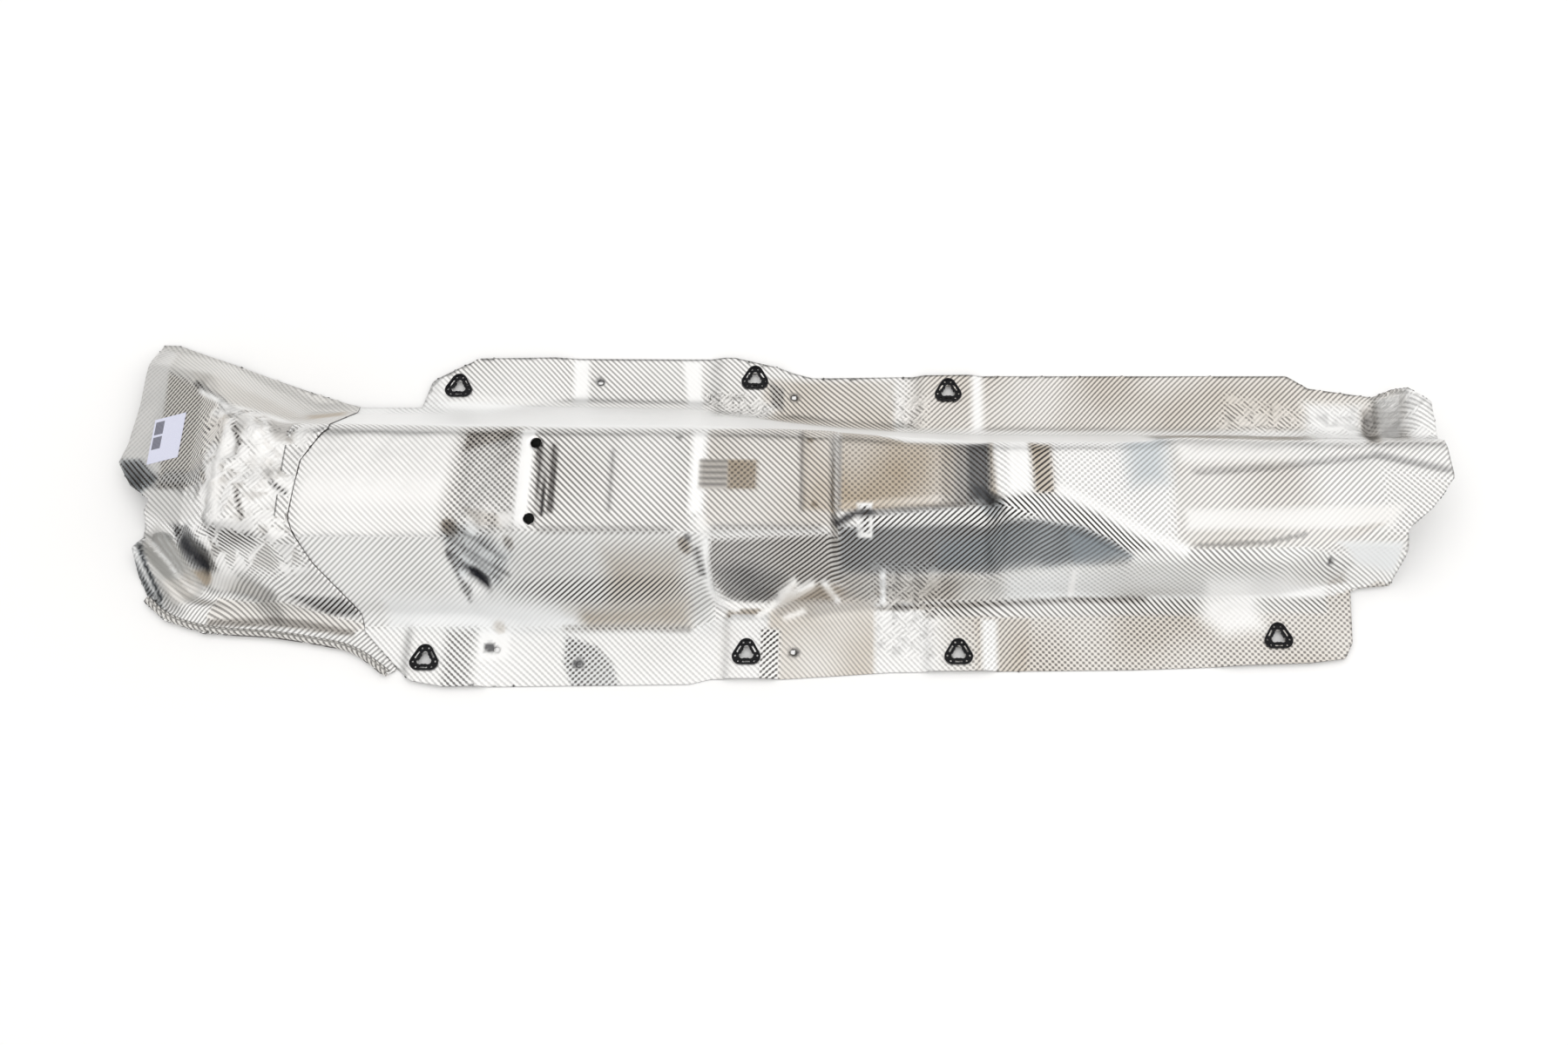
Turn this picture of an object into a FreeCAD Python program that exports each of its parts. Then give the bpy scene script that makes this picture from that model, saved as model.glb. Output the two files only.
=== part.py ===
import FreeCAD, Part
import os
import Sketcher

# Exhaust heat shield for a car's floor tunnel, lying on its flanges with the hump up.
# X runs along the shield with the bell mouth at -X, Y runs across it, and Z is up.
# Two pressed sheets lap at a seam, plastic clips sit in the flanges, and a label is stuck
# on the bell mouth. Every length is in millimetres.

doc = FreeCAD.newDocument("exhaust_heat_shield")
sizes = doc.addObject("Spreadsheet::Sheet", "Sizes")
next_row = 1


def size(alias, value, note=""):
    """Writes one driving size to the sheet and gives back the text that reads it."""
    global next_row
    sizes.set("A%d" % next_row, note or alias.replace("_", " "))
    sizes.set("B%d" % next_row, str(value))
    sizes.setAlias("B%d" % next_row, alias)
    next_row += 1
    return "Sizes." + alias


# Sheet and seam
SHEET = size("sheet_thickness", 1.2, "thickness over the embossing")
GAP = size("lap_gap", 0.15, "air between the two sheets in the lap")
CORNER = size("press_corner", 9, "how far each bent corner is eased on the level side")
CORNER_SHARE = size("corner_share", 0.09, "part of the wall's height that a corner eases")
WALL_SHARE = size("wall_share", 0.58, "sideways share of the thickness on a sloping wall")
FORM_DEPTH = size("form_depth", 30, "how far the press forms reach below the flanges")
FORM_REACH = size("form_reach", 290, "how far the press forms reach to each side")
FORM_SPREAD = size("form_spread", 5, "how much further the lower form reaches")
TRIM_HEIGHT = size("trim_height", 200, "height of the trimming and drilling tools")
SEAM_X = size("seam_from_middle", 500, "seam from the middle of the shield")
ENTRY_LEAD = size("entry_lead", 100, "first section of the main pressing ahead of the seam")

# Sections of the main pressing. Each run is the distance from the section before it.
# Columns: name, run, flange root and roof edge on the far side, roof edge and flange
# root on the near side, height of the roof, and how much its middle stands above that.
# The first two share one section, which the bell mouth's lap fits over.
FRONT_SECTION = (128, 55, -66, -140, 112, 2)
MAIN_SECTIONS = [
    ("entry", 0),
    ("ramp_foot", 255),
    ("ramp_top", 73, 137, 46, -74, -148, 128, 1),
    ("upper_end", 178, 132, 46, -74, -147, 128, 1),
    ("middle_start", 28, 128, 47, -69, -123, 124, 1),
    ("middle_end", 136, 106, 43, -66, -123, 122, 1),
    ("recess_start", 10, 105, 48, -55, -123, 108, 0.5),
    ("recess_end", 166, 97, 38, -25, -118, 104, 0.5),
    ("crest", 19, 97, 34, -42, -118, 115, 1),
    ("crest_end", 35, 97, 35, -47, -117, 112, 1),
    ("fold", 21, 97, 39, -48, -114, 104, 1),
    ("slope", 40, 97, 43, -63, -113, 95, 2),
    ("shoulder", 47, 97, 50, -90, -114, 80, 3),
    ("rear_start", 69, 96, 60, -88, -112, 72, 5),
    ("rear_middle", 108, 97, 57, -87, -112, 70, 5),
    ("tail_start", 50, 97, 56, -72, -100, 71, 5),
    ("tail_end", 200, 97, 56, -68, -94, 72, 5),
]

# Sections of the bell mouth, counted forwards from the seam. Three more columns give
# the raised rim round the dish on the near side: where it stands, how high, its foot.
LAP_RIM = (-155, 0, -170)
MOUTH_SECTIONS = [
    ("lap_end", -100),
    ("lap_start", 160),
    ("brow_foot", 34, 148, 68, -64, -120, 112, 2, -136, 0, -156),
    ("brow", 30, 162, 82, -62, -108, 111, 2, -128, 2, -154),
    ("cheek", 48, 190, 148, -58, -96, 60, 2, -124, 11, -148),
    ("lip", 70, 212, 172, -4, -26, 28, 1, -56, 18, -84),
    ("lip_end", 58, 220, 184, 20, 4, 9, 1, -16, 8, -40),
]

# Raised seats across the flanges for the clips. Columns: name, section that the seat
# is measured from, start and end of its level top, length of the ramp at each end.
FAR_SEATS = [
    ("far_front_seat", "ramp_foot", -69, 69, 26),
    ("far_middle_seat", "upper_end", 25, 92, 18),
    ("far_rear_seat", "recess_start", 96, 153, 14),
]
NEAR_SEATS = [
    ("near_front_seat", "ramp_foot", -68, 19, 5),
    ("near_middle_seat", "middle_start", 19, 67, 9),
    ("near_rear_seat", "recess_start", 105, 166, 13),
    ("near_tail_seat", "rear_start", 58, 340, 34),
]
SEAT_RISE = size("seat_rise", 5, "height of a clip seat above the flange")
SEAT_ROOT = size("seat_root", 2, "how deep a seat is rooted in the flange's form")
SEAT_INNER = size("seat_inner", 60, "inner end of a seat, inside the hump")
SEAT_OUTER = size("seat_outer", 285, "outer end of a seat, past the trimmed edge")

# Lobe that rises from the far flange at the tail
LOBE_FROM = size("lobe_from", 118, "start of the lobe's level top behind the tail section")
LOBE_RAMP = size("lobe_ramp", 30)
LOBE_LENGTH = size("lobe_length", 130)
LOBE_RISE = size("lobe_rise", 46)
LOBE_INNER = size("lobe_inner", 20)
LOBE_OUTER = size("lobe_outer", 190)

# Shallow grooves across the roof: name, distance behind the top of the ramp, far end,
# near end.
GROOVES = [
    ("long_groove", 22, 32, -62),
    ("short_groove", 34, 17, -54),
]
GROOVE_WIDTH = size("groove_width", 6)
GROOVE_DEPTH = size("groove_depth", 2.2)
GROOVE_OVER = size("groove_overreach", 6, "how far a groove's cutter stands above the roof")

# Round holes through the roof beside the grooves
ROOF_HOLE = size("roof_hole_diameter", 13)
ROOF_HOLE_X = size("roof_hole_setback", 13.5, "roof holes behind the top of the ramp")
ROOF_HOLES = [("roof_hole_far", 27.5), ("roof_hole_near", -63.5)]

# Clips. Columns: name, row of its seat, distance from the start of the seat's level
# top, distance from the middle plane.
CLIPS = [
    ("clip_far_front", FAR_SEATS[0], 22.5, 159.5),
    ("clip_far_middle", FAR_SEATS[1], 38.5, 170.5),
    ("clip_far_rear", FAR_SEATS[2], 29.5, 153.5),
    ("clip_near_front", NEAR_SEATS[0], 19.5, -186.5),
    ("clip_near_middle", NEAR_SEATS[1], 19.5, -179.5),
    ("clip_near_rear", NEAR_SEATS[2], 29.5, -179.5),
    ("clip_near_tail", NEAR_SEATS[3], 45.5, -160.5),
]

# Plain locating holes in the flanges. Columns: name, section, distance from it, and Y.
LOCATORS = [
    ("far_front_hole", "ramp_top", 52, 168.5),
    ("far_middle_hole", "middle_end", -52.5, 147.5),
    ("near_seat_hole", "ramp_foot", 31.5, -173.5),
    ("near_front_hole", "ramp_top", 54, -191),
    ("near_middle_hole", "middle_end", -44.5, -176.5),
]
LOCATOR = size("locator_diameter", 7)

# Plan outline of the main pressing: name, section, distance from it, and Y
MAIN_OUTLINE = [
    ("lap_far", "entry", 55, 132),
    ("bare_wall", "ramp_foot", -90, 132),
    ("tab_start", "ramp_foot", -80, 168),
    ("tab_corner", "ramp_foot", -25, 199),
    ("tab_edge", "ramp_top", 22, 201),
    ("tab_end", "middle_start", 10, 200),
    ("waist_start", "middle_start", 57, 188),
    ("waist_end", "middle_end", -30, 174),
    ("rail_start", "recess_end", 8, 177),
    ("rail_end", "tail_start", -14, 177),
    ("rail_corner", "tail_start", 11, 160),
    ("bowl_edge", "tail_start", 105, 145),
    ("lobe_start", "tail_start", 131, 129),
    ("lobe_corner", "tail_start", 143, 120),
    ("lobe_end", "tail_start", 145, 54),
    ("roof_tip", "tail_start", 146.5, 8),
    ("roof_slant", "tail_start", 117, -30),
    ("roof_corner", "tail_start", 87, -55),
    ("wall_tip", "tail_start", 88, -79),
    ("wall_foot", "tail_start", 80, -98),
    ("flange_end", "tail_start", 34, -102),
    ("flange_tip", "tail_start", 30, -167),
    ("flange_corner", "tail_start", 20, -186),
    ("flange_edge", "tail_start", -21, -191),
    ("near_rear", "rear_start", -65, -198),
    ("near_middle", "recess_start", 57, -201),
    ("near_waist", "middle_end", -56, -209),
    ("near_step", "middle_start", -2, -209),
    ("near_bulge", "upper_end", 2, -215),
    ("near_front", "ramp_foot", -26, -218.5),
    ("near_corner", "ramp_foot", -62, -212),
    ("hem_end", "ramp_foot", -76, -200),
    ("lap_flange", "entry", 112, -152),
    ("lap_wall", "entry", 74, -108),
    ("lap_near", "entry", 55, -84),
]

# Plan outline of the bell mouth: name, distance forwards of the seam, and Y
MOUTH_OUTLINE = [
    ("seam_far", 9, 133),
    ("wall_bottom", 66, 152),
    ("wall_flare", 138, 178),
    ("wing_edge", 206, 203),
    ("wing_far", 244, 218),
    ("wing_corner", 263, 218.5),
    ("wing_side", 268, 190),
    ("wing_front", 267, 125),
    ("chin", 273, 75),
    ("tip", 281.5, 53),
    ("notch_far", 258, 20),
    ("notch", 226, -2),
    ("notch_near", 242, -28),
    ("rim_far", 245, -58),
    ("rim_front", 238, -86),
    ("rim_corner", 222, -114),
    ("rim_near", 198, -136),
    ("hem_front", 148, -152),
    ("hem_middle", 72, -156),
    ("hem_rear", 27, -163),
    ("hem_bend", -25, -173),
    ("hem_tail", -66, -203),
    ("seam_tail", -76, -198),
    ("seam_flange", -33, -152),
    ("seam_root", -30, -134),
    ("seam_wall", 10, -96),
    ("seam_near", 25, -72),
    ("seam_roof_near", 30, -56),
    ("seam_roof", 25, 12),
    ("seam_roof_far", 2, 55),
]

# Rolled hem along the bell mouth's near edge, past these corners of its outline
HEM_RADIUS = size("hem_radius", 4.2)
HEM_CORNERS = ("rim_corner", "rim_near", "hem_front", "hem_middle", "hem_rear",
               "hem_bend", "hem_tail")

# Label on the sloping front of the bell mouth
LABEL_LEAD = size("label_from_seam", 240, "front edge of the label ahead of the seam")
LABEL_LENGTH = size("label_length", 46)
LABEL_SIDE = size("label_from_middle", 44)
LABEL_WIDTH = size("label_width", 58)
LABEL_THICKNESS = size("label_thickness", 0.25)

# Clip: a three-lobed plastic retainer whose grips hold a stud
CLIP_CENTRE = size("clip_lobe_centre", 8, "centres of the three lobes from the axis")
CLIP_RADIUS = size("clip_lobe_radius", 9.4)
CLIP_PLATE = size("clip_plate", 2.6, "height of the clip above the sheet")
CLIP_RIM = size("clip_rim", 2.2, "width of the outer rim")
CLIP_WEB = size("clip_web", 1.3, "thickness of the floor inside the rim")
GRIP_RADIUS = size("clip_grip_radius", 6, "circle on which the grips hold a stud")
EYE_CENTRE = size("clip_eye_centre", 5.4, "centres of the three eyes of the opening")
EYE_RADIUS = size("clip_eye_radius", 3.7)
LEG_WALL = size("clip_leg_wall", 1.6, "thickness of the three legs behind the grips")
LEG_WIDTH = size("clip_leg_width", 7)
LEG_PLAY = size("clip_leg_play", 0.15, "clearance round the legs and under the sheet")
SNAP = size("clip_snap", 1.3, "how far the legs' feet stand out under the sheet")
SNAP_HEIGHT = size("clip_snap_height", 1.8)
WINDOW_CENTRE = size("clip_window_centre", 9.8, "long windows from the axis")
WINDOW_LENGTH = size("clip_window_length", 8.6)
WINDOW_WIDTH = size("clip_window_width", 2)
PEEP_CENTRE = size("clip_peep_centre", 12.6, "small windows from the axis, along a lobe")
PEEP_SIDE = size("clip_peep_side", 3.7, "small windows to each side of a lobe's line")
PEEP_SIZE = size("clip_peep_size", 2)

# Places along X as formulas over the runs
place = {}
reached = "-" + SEAM_X + " - " + ENTRY_LEAD
for row in MAIN_SECTIONS:
    if row[1]:
        reached += " + " + size(row[0] + "_run", row[1], "run up to " + row[0])
    place[row[0]] = "(" + reached + ")"
reached = "-" + SEAM_X
for row in MOUTH_SECTIONS:
    reached += " - (" + size(row[0] + "_run", row[1], "run forwards to " + row[0]) + ")"
    place[row[0]] = "(" + reached + ")"

SECTION_SIZES = ("root_far", "roof_far", "roof_near", "root_near", "height", "crown",
                 "rim", "rim_height", "rim_foot")
front_section = [size("front_" + word, value)
                 for word, value in zip(SECTION_SIZES, FRONT_SECTION)]
lap_rim = [size("lap_" + word, value) for word, value in zip(SECTION_SIZES[6:], LAP_RIM)]
section = {"entry": front_section, "ramp_foot": front_section,
           "lap_end": front_section + lap_rim, "lap_start": front_section + lap_rim}
for row in MAIN_SECTIONS + MOUTH_SECTIONS:
    if row[0] not in section:
        section[row[0]] = [size(row[0] + "_" + word, value)
                           for word, value in zip(SECTION_SIZES, row[2:])]
for row in FAR_SEATS + NEAR_SEATS:
    for word, value in zip(("start", "end", "ramp"), row[2:]):
        size(row[0] + "_" + word, value)
for row in GROOVES:
    for word, value in zip(("setback", "far", "near"), row[1:]):
        size(row[0] + "_" + word, value)
spots = {}
for name, from_section, along, across in LOCATORS + MAIN_OUTLINE:
    along_x = "%s + %s" % (place[from_section], size(name + "_x", along))
    spots[name] = (along_x, size(name + "_y", across))
for name, seat, along, across in CLIPS:
    along_x = "%s + Sizes.%s_start + %s" % (place[seat[1]], seat[0], size(name + "_x", along))
    spots[name] = (along_x, size(name + "_y", across))
for name, across in ROOF_HOLES:
    spots[name] = ("%s + %s" % (place["ramp_top"], ROOF_HOLE_X), size(name + "_y", across))
for name, ahead, across in MOUTH_OUTLINE:
    spots[name] = ("-%s - (%s)" % (SEAM_X, size(name + "_x", ahead)), size(name + "_y", across))
doc.recompute()


def evaluate(text):
    """Works out a formula over the sheet's sizes as a plain number."""
    return float(sizes.evalExpression(text))


def bind(thing, **formulas):
    """Ties properties to formulas. A double underscore stands for a dot in the name."""
    for name, text in formulas.items():
        thing.setExpression(name.replace("__", "."), text)


def plane(body, role):
    """Finds one of a body's own origin planes."""
    return [item for item in body.Origin.OriginFeatures if item.Role == role][0]


def new_sketch(body, name, role):
    """Adds a sketch on one of the body's own planes."""
    sketch = body.newObject("Sketcher::SketchObject", name)
    sketch.AttachmentSupport = [(plane(body, role), "")]
    sketch.MapMode = "FlatFace"
    return sketch


def hold(sketch, kind, first, first_end, second, second_end, text):
    """Adds a distance between two points of a sketch and ties it to a formula."""
    parts = (kind, first, first_end, second, second_end, evaluate(text))
    index = sketch.addConstraint(Sketcher.Constraint(*parts))
    sketch.setExpression("Constraints[%d]" % index, text)


def draw_loop(sketch, corners):
    """Draws a closed loop of lines through corners given as pairs of formulas."""
    points = [FreeCAD.Vector(evaluate(x_text), evaluate(y_text), 0) for x_text, y_text in corners]
    first = sketch.GeometryCount
    count = len(corners)
    for number in range(count):
        line = Part.LineSegment(points[number], points[(number + 1) % count])
        sketch.addGeometry(line, False)
    for number in range(count):
        follower = first + (number + 1) % count
        sketch.addConstraint(Sketcher.Constraint("Coincident", first + number, 2, follower, 1))
    for number, (x_text, y_text) in enumerate(corners):
        hold(sketch, "DistanceX", -1, 1, first + number, 1, x_text)
        hold(sketch, "DistanceY", -1, 1, first + number, 1, y_text)


def draw_box(sketch, middle_x, middle_y, width, height):
    """Draws a box round its middle."""
    left = "%s - %s / 2" % (middle_x, width)
    right = "%s + %s / 2" % (middle_x, width)
    bottom = "%s - %s / 2" % (middle_y, height)
    top = "%s + %s / 2" % (middle_y, height)
    draw_loop(sketch, [(left, bottom), (right, bottom), (right, top), (left, top)])


def draw_open_line(sketch, corners):
    """Draws a line of straight runs through corners given as pairs of formulas."""
    points = [FreeCAD.Vector(evaluate(x_text), evaluate(y_text), 0) for x_text, y_text in corners]
    for number in range(len(points) - 1):
        sketch.addGeometry(Part.LineSegment(points[number], points[number + 1]), False)
        if number:
            sketch.addConstraint(Sketcher.Constraint("Coincident", number - 1, 2, number, 1))
        hold(sketch, "DistanceX", -1, 1, number, 1, corners[number][0])
        hold(sketch, "DistanceY", -1, 1, number, 1, corners[number][1])
    hold(sketch, "DistanceX", -1, 1, number, 2, corners[-1][0])
    hold(sketch, "DistanceY", -1, 1, number, 2, corners[-1][1])


def rounded_triangle(sketch, centre, radius):
    """Draws a loop round three equal circles, one of them towards +Y."""
    slant = 0.75 ** 0.5
    lobes = [FreeCAD.Vector(0, 1, 0), FreeCAD.Vector(-slant, -0.5, 0), FreeCAD.Vector(slant, -0.5, 0)]
    sides = [FreeCAD.Vector(-slant, 0.5, 0), FreeCAD.Vector(0, -1, 0), FreeCAD.Vector(slant, 0.5, 0)]
    reach = evaluate(centre)
    bend = evaluate(radius)
    first = sketch.GeometryCount
    for number in range(3):
        middle = lobes[number] * reach
        following = lobes[(number + 1) % 3] * reach
        outward = sides[number] * bend
        sketch.addGeometry(Part.Arc(middle + sides[number - 1] * bend, middle + lobes[number] * bend,
                                    middle + outward), False)
        sketch.addGeometry(Part.LineSegment(middle + outward, following + outward), False)
    for number in range(3):
        arc = first + 2 * number
        line = arc + 1
        next_arc = first + (2 * number + 2) % 6
        sketch.addConstraint(Sketcher.Constraint("Tangent", arc, 2, line, 1))
        sketch.addConstraint(Sketcher.Constraint("Tangent", line, 2, next_arc, 1))
        held = sketch.addConstraint(Sketcher.Constraint("Radius", arc, bend))
        sketch.setExpression("Constraints[%d]" % held, radius)
        hold(sketch, "DistanceX", -1, 1, arc, 3, "%r * %s" % (lobes[number].x, centre))
        hold(sketch, "DistanceY", -1, 1, arc, 3, "%r * %s" % (lobes[number].y, centre))


def circle(sketch, x_text, y_text, radius):
    """Draws one circle held by its centre and radius."""
    middle = FreeCAD.Vector(evaluate(x_text), evaluate(y_text), 0)
    number = sketch.addGeometry(Part.Circle(middle, FreeCAD.Vector(0, 0, 1), evaluate(radius)), False)
    held = sketch.addConstraint(Sketcher.Constraint("Radius", number, evaluate(radius)))
    sketch.setExpression("Constraints[%d]" % held, radius)
    hold(sketch, "DistanceX", -1, 1, number, 3, x_text)
    hold(sketch, "DistanceY", -1, 1, number, 3, y_text)


def pad(body, sketch, length, downwards):
    """Raises a sketch into a solid."""
    feature = body.newObject("PartDesign::Pad", sketch.Name + "_pad")
    feature.Profile = sketch
    feature.Reversed = downwards
    bind(feature, Length=length)
    body.Tip = feature
    return feature


def pierce(body, sketch):
    """Cuts a sketch through the whole body, both ways."""
    feature = body.newObject("PartDesign::Pocket", sketch.Name + "_pocket")
    feature.Profile = sketch
    feature.Type = "ThroughAll"
    feature.Midplane = True
    body.Tip = feature
    return feature


def repeat_three(body, feature):
    """Repeats a feature at the three lobes."""
    pattern = body.newObject("PartDesign::PolarPattern", feature.Name + "_ring")
    pattern.Originals = [feature]
    pattern.Axis = (plane(body, "Z_Axis"), [""])
    pattern.Angle = 360
    pattern.Occurrences = 3
    body.Tip = pattern
    return pattern


def section_corners(name, lift, spread):
    """Corners of one section of a press form, from the far side to the near side.

    The formulas put the form's skin above the underside of the main sheet by lift, and
    move its walls outwards with it. spread widens the block under the skin.
    """
    root_far, roof_far, roof_near, root_near, height, crown = section[name][:6]
    side = "%s * (%s)" % (WALL_SHARE, lift)
    ease = "%s * %s" % (CORNER_SHARE, height)
    reach = "(%s + %s)" % (FORM_REACH, spread)
    depth = "-(%s + %s)" % (FORM_DEPTH, spread)
    low = "%s + %s" % (ease, lift)
    high = "%s - %s + %s" % (height, ease, lift)
    roof = "%s + %s" % (height, lift)
    top = "%s + %s + %s" % (height, crown, lift)
    eased_far = "(%s - %s) * %s" % (roof_far, root_far, CORNER_SHARE)
    eased_near = "(%s - %s) * %s" % (roof_near, root_near, CORNER_SHARE)
    corners = [
        (reach, depth),
        (reach, lift),
        ("%s + %s + %s" % (root_far, CORNER, side), lift),
        ("%s + %s + %s" % (root_far, eased_far, side), low),
        ("%s - %s + %s" % (roof_far, eased_far, side), high),
        ("%s - %s + %s" % (roof_far, CORNER, side), roof),
        ("(2 * %s + %s) / 3" % (roof_far, roof_near), top),
        ("(%s + 2 * %s) / 3" % (roof_far, roof_near), top),
        ("%s + %s - %s" % (roof_near, CORNER, side), roof),
        ("%s - %s - %s" % (roof_near, eased_near, side), high),
        ("%s + %s - %s" % (root_near, eased_near, side), low),
        ("%s - %s - %s" % (root_near, CORNER, side), lift),
    ]
    if len(section[name]) > 6:
        rim, rim_height, rim_foot = section[name][6:]
        corners.append((rim, "%s + %s" % (rim_height, lift)))
        corners.append(("%s - %s" % (rim_foot, side), lift))
    corners.append(("-" + reach, lift))
    corners.append(("-" + reach, depth))
    return corners


def press_form(name, rows, lift, spread):
    """Builds one half of a press tool: a block lofted through the sections."""
    body = doc.addObject("PartDesign::Body", name)
    sketches = []
    for row in rows:
        sketch = new_sketch(body, name + "_" + row[0], "YZ_Plane")
        bind(sketch, AttachmentOffset__Base__z=place[row[0]])
        draw_loop(sketch, section_corners(row[0], lift, spread))
        sketches.append(sketch)
    loft = body.newObject("PartDesign::AdditiveLoft", name + "_loft")
    loft.Profile = sketches[0]
    loft.Sections = sketches[1:]
    loft.Ruled = True
    loft.Refine = False
    body.Tip = loft
    return body


def wedge(name, low_x, high_x, low_y, high_y, bottom, top):
    """Adds a block with a level bottom and top. The x and y ranges are pairs of formulas,
    the first for the bottom and the second for the top."""
    block = doc.addObject("Part::Wedge", name)
    block.Placement.Rotation = FreeCAD.Rotation(FreeCAD.Vector(1, 0, 0), 90)
    bind(block, Ymin=bottom, Ymax=top,
         Xmin=low_x[0], Xmax=high_x[0], X2min=low_x[1], X2max=high_x[1],
         Zmin="-(%s)" % high_y[0], Zmax="-(%s)" % low_y[0],
         Z2min="-(%s)" % high_y[1], Z2max="-(%s)" % low_y[1])
    return block


def seat_block(form_name, row, lift, side):
    """One clip seat: a low block across the flange with a ramp at each end."""
    name = row[0]
    start_x = "%s + Sizes.%s_start" % (place[row[1]], name)
    end_x = "%s + Sizes.%s_end" % (place[row[1]], name)
    spill = "Sizes.%s_ramp * (1 + %s / %s)" % (name, SEAT_ROOT, SEAT_RISE)
    bottom = "%s - %s" % (lift, SEAT_ROOT)
    top = "%s + %s" % (lift, SEAT_RISE)
    low_y = SEAT_INNER if side > 0 else "-" + SEAT_OUTER
    high_y = SEAT_OUTER if side > 0 else "-" + SEAT_INNER
    return wedge(form_name + "_" + name, ("%s - %s" % (start_x, spill), start_x),
                 ("%s + %s" % (end_x, spill), end_x), (low_y, low_y), (high_y, high_y),
                 bottom, top)


def lobe_block(form_name, lift):
    """The lobe at the tail, with a sloping front face."""
    start_x = "%s + %s" % (place["tail_start"], LOBE_FROM)
    spill = "%s * (1 + %s / %s)" % (LOBE_RAMP, SEAT_ROOT, LOBE_RISE)
    end_x = "%s + %s" % (start_x, LOBE_LENGTH)
    side = "%s * (%s)" % (WALL_SHARE, lift)
    return wedge(form_name + "_lobe",
                 ("%s - %s - %s" % (start_x, spill, side), "%s - %s" % (start_x, side)),
                 (end_x, end_x), (LOBE_INNER, LOBE_INNER), (LOBE_OUTER, LOBE_OUTER),
                 "%s - %s" % (lift, SEAT_ROOT), "%s + %s" % (lift, LOBE_RISE))


def groove_cutter(form_name, row, lift):
    """A cutter for one groove: narrow at the bottom and wide above the roof."""
    name = row[0]
    middle_x = "%s + Sizes.%s_setback" % (place["ramp_top"], name)
    roof = "%s + %s + %s" % (section["ramp_top"][4], section["ramp_top"][5], lift)
    half = "%s / 2" % GROOVE_WIDTH
    flare = "%s * (1 + %s / %s)" % (half, GROOVE_OVER, GROOVE_DEPTH)
    return wedge(form_name + "_" + name,
                 ("%s - %s / 3" % (middle_x, half), "%s - %s" % (middle_x, flare)),
                 ("%s + %s / 3" % (middle_x, half), "%s + %s" % (middle_x, flare)),
                 ("Sizes.%s_near" % name, "Sizes.%s_near - %s" % (name, half)),
                 ("Sizes.%s_far" % name, "Sizes.%s_far + %s" % (name, half)),
                 "%s - %s" % (roof, GROOVE_DEPTH), "%s + %s" % (roof, GROOVE_OVER))


def main_form(name, lift, spread):
    """Press form of the main sheet: hump, seats and lobe, less the grooves."""
    blocks = [press_form(name + "_hump", MAIN_SECTIONS, lift, spread)]
    blocks += [seat_block(name, row, lift, 1) for row in FAR_SEATS]
    blocks += [seat_block(name, row, lift, -1) for row in NEAR_SEATS]
    blocks.append(lobe_block(name, lift))
    joined = doc.addObject("Part::MultiFuse", name + "_blocks")
    joined.Shapes = blocks
    joined.Refine = False
    cutters = doc.addObject("Part::MultiFuse", name + "_grooves")
    cutters.Shapes = [groove_cutter(name, row, lift) for row in GROOVES]
    return cut(name, joined, cutters)


def cut(name, base, tool):
    """Takes one solid away from another."""
    result = doc.addObject("Part::Cut", name)
    result.Base = base
    result.Tool = tool
    result.Refine = False
    return result


def common(name, first, second):
    """Keeps what two solids share."""
    result = doc.addObject("Part::MultiCommon", name)
    result.Shapes = [first, second]
    result.Refine = False
    return result


def outline_block(name, corners):
    """A tall block over a plan outline, which trims a pressed sheet."""
    body = doc.addObject("PartDesign::Body", name)
    sketch = new_sketch(body, name + "_sketch", "XY_Plane")
    draw_loop(sketch, corners)
    pad(body, sketch, TRIM_HEIGHT, False)
    bind(sketch, AttachmentOffset__Base__z="-" + FORM_DEPTH)
    return body


def drill(name, x_text, y_text, diameter):
    """A tall cylinder that makes a round hole."""
    tool = doc.addObject("Part::Cylinder", name)
    bind(tool, Radius="(%s) / 2" % diameter, Height=TRIM_HEIGHT, Placement__Base__x=x_text,
         Placement__Base__y=y_text, Placement__Base__z="-" + FORM_DEPTH)
    return tool


MAIN_UNDER = "0"
MAIN_TOP = SHEET
MOUTH_UNDER = "(%s + %s)" % (SHEET, GAP)
MOUTH_TOP = "(2 * %s + %s)" % (SHEET, GAP)
LABEL_TOP = "(2 * %s + %s + %s)" % (SHEET, GAP, LABEL_THICKNESS)

# Main pressing: what lies between the two halves of its press, trimmed and pierced
main_die = main_form("main_die", MAIN_TOP, "0")
main_punch = main_form("main_punch", MAIN_UNDER, FORM_SPREAD)
main_sheet = cut("main_sheet", main_die, main_punch)
main_outline = outline_block("main_outline", [spots[row[0]] for row in MAIN_OUTLINE])
main_trimmed = common("main_trimmed", main_sheet, main_outline)
leg_corner = "sqrt((%s + %s)^2 + (%s / 2)^2)" % (GRIP_RADIUS, LEG_WALL, LEG_WIDTH)
clip_hole = "2 * (%s + %s)" % (leg_corner, LEG_PLAY)
drills = [drill(row[0] + "_drill", *spots[row[0]], clip_hole) for row in CLIPS]
drills += [drill(row[0], *spots[row[0]], LOCATOR) for row in LOCATORS]
drills += [drill(row[0], *spots[row[0]], ROOF_HOLE) for row in ROOF_HOLES]
all_drills = doc.addObject("Part::MultiFuse", "main_drills")
all_drills.Shapes = drills
main_panel = cut("main_panel", main_trimmed, all_drills)

# Bell mouth: pressed the same way, one sheet higher so that it lies on the main one
mouth_die = press_form("mouth_die", MOUTH_SECTIONS, MOUTH_TOP, "0")
mouth_punch = press_form("mouth_punch", MOUTH_SECTIONS, MOUTH_UNDER, FORM_SPREAD)
mouth_sheet = cut("mouth_sheet", mouth_die, mouth_punch)
mouth_outline = outline_block("mouth_outline", [spots[row[0]] for row in MOUTH_OUTLINE])
mouth_trimmed = common("mouth_trimmed", mouth_sheet, mouth_outline)

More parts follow.
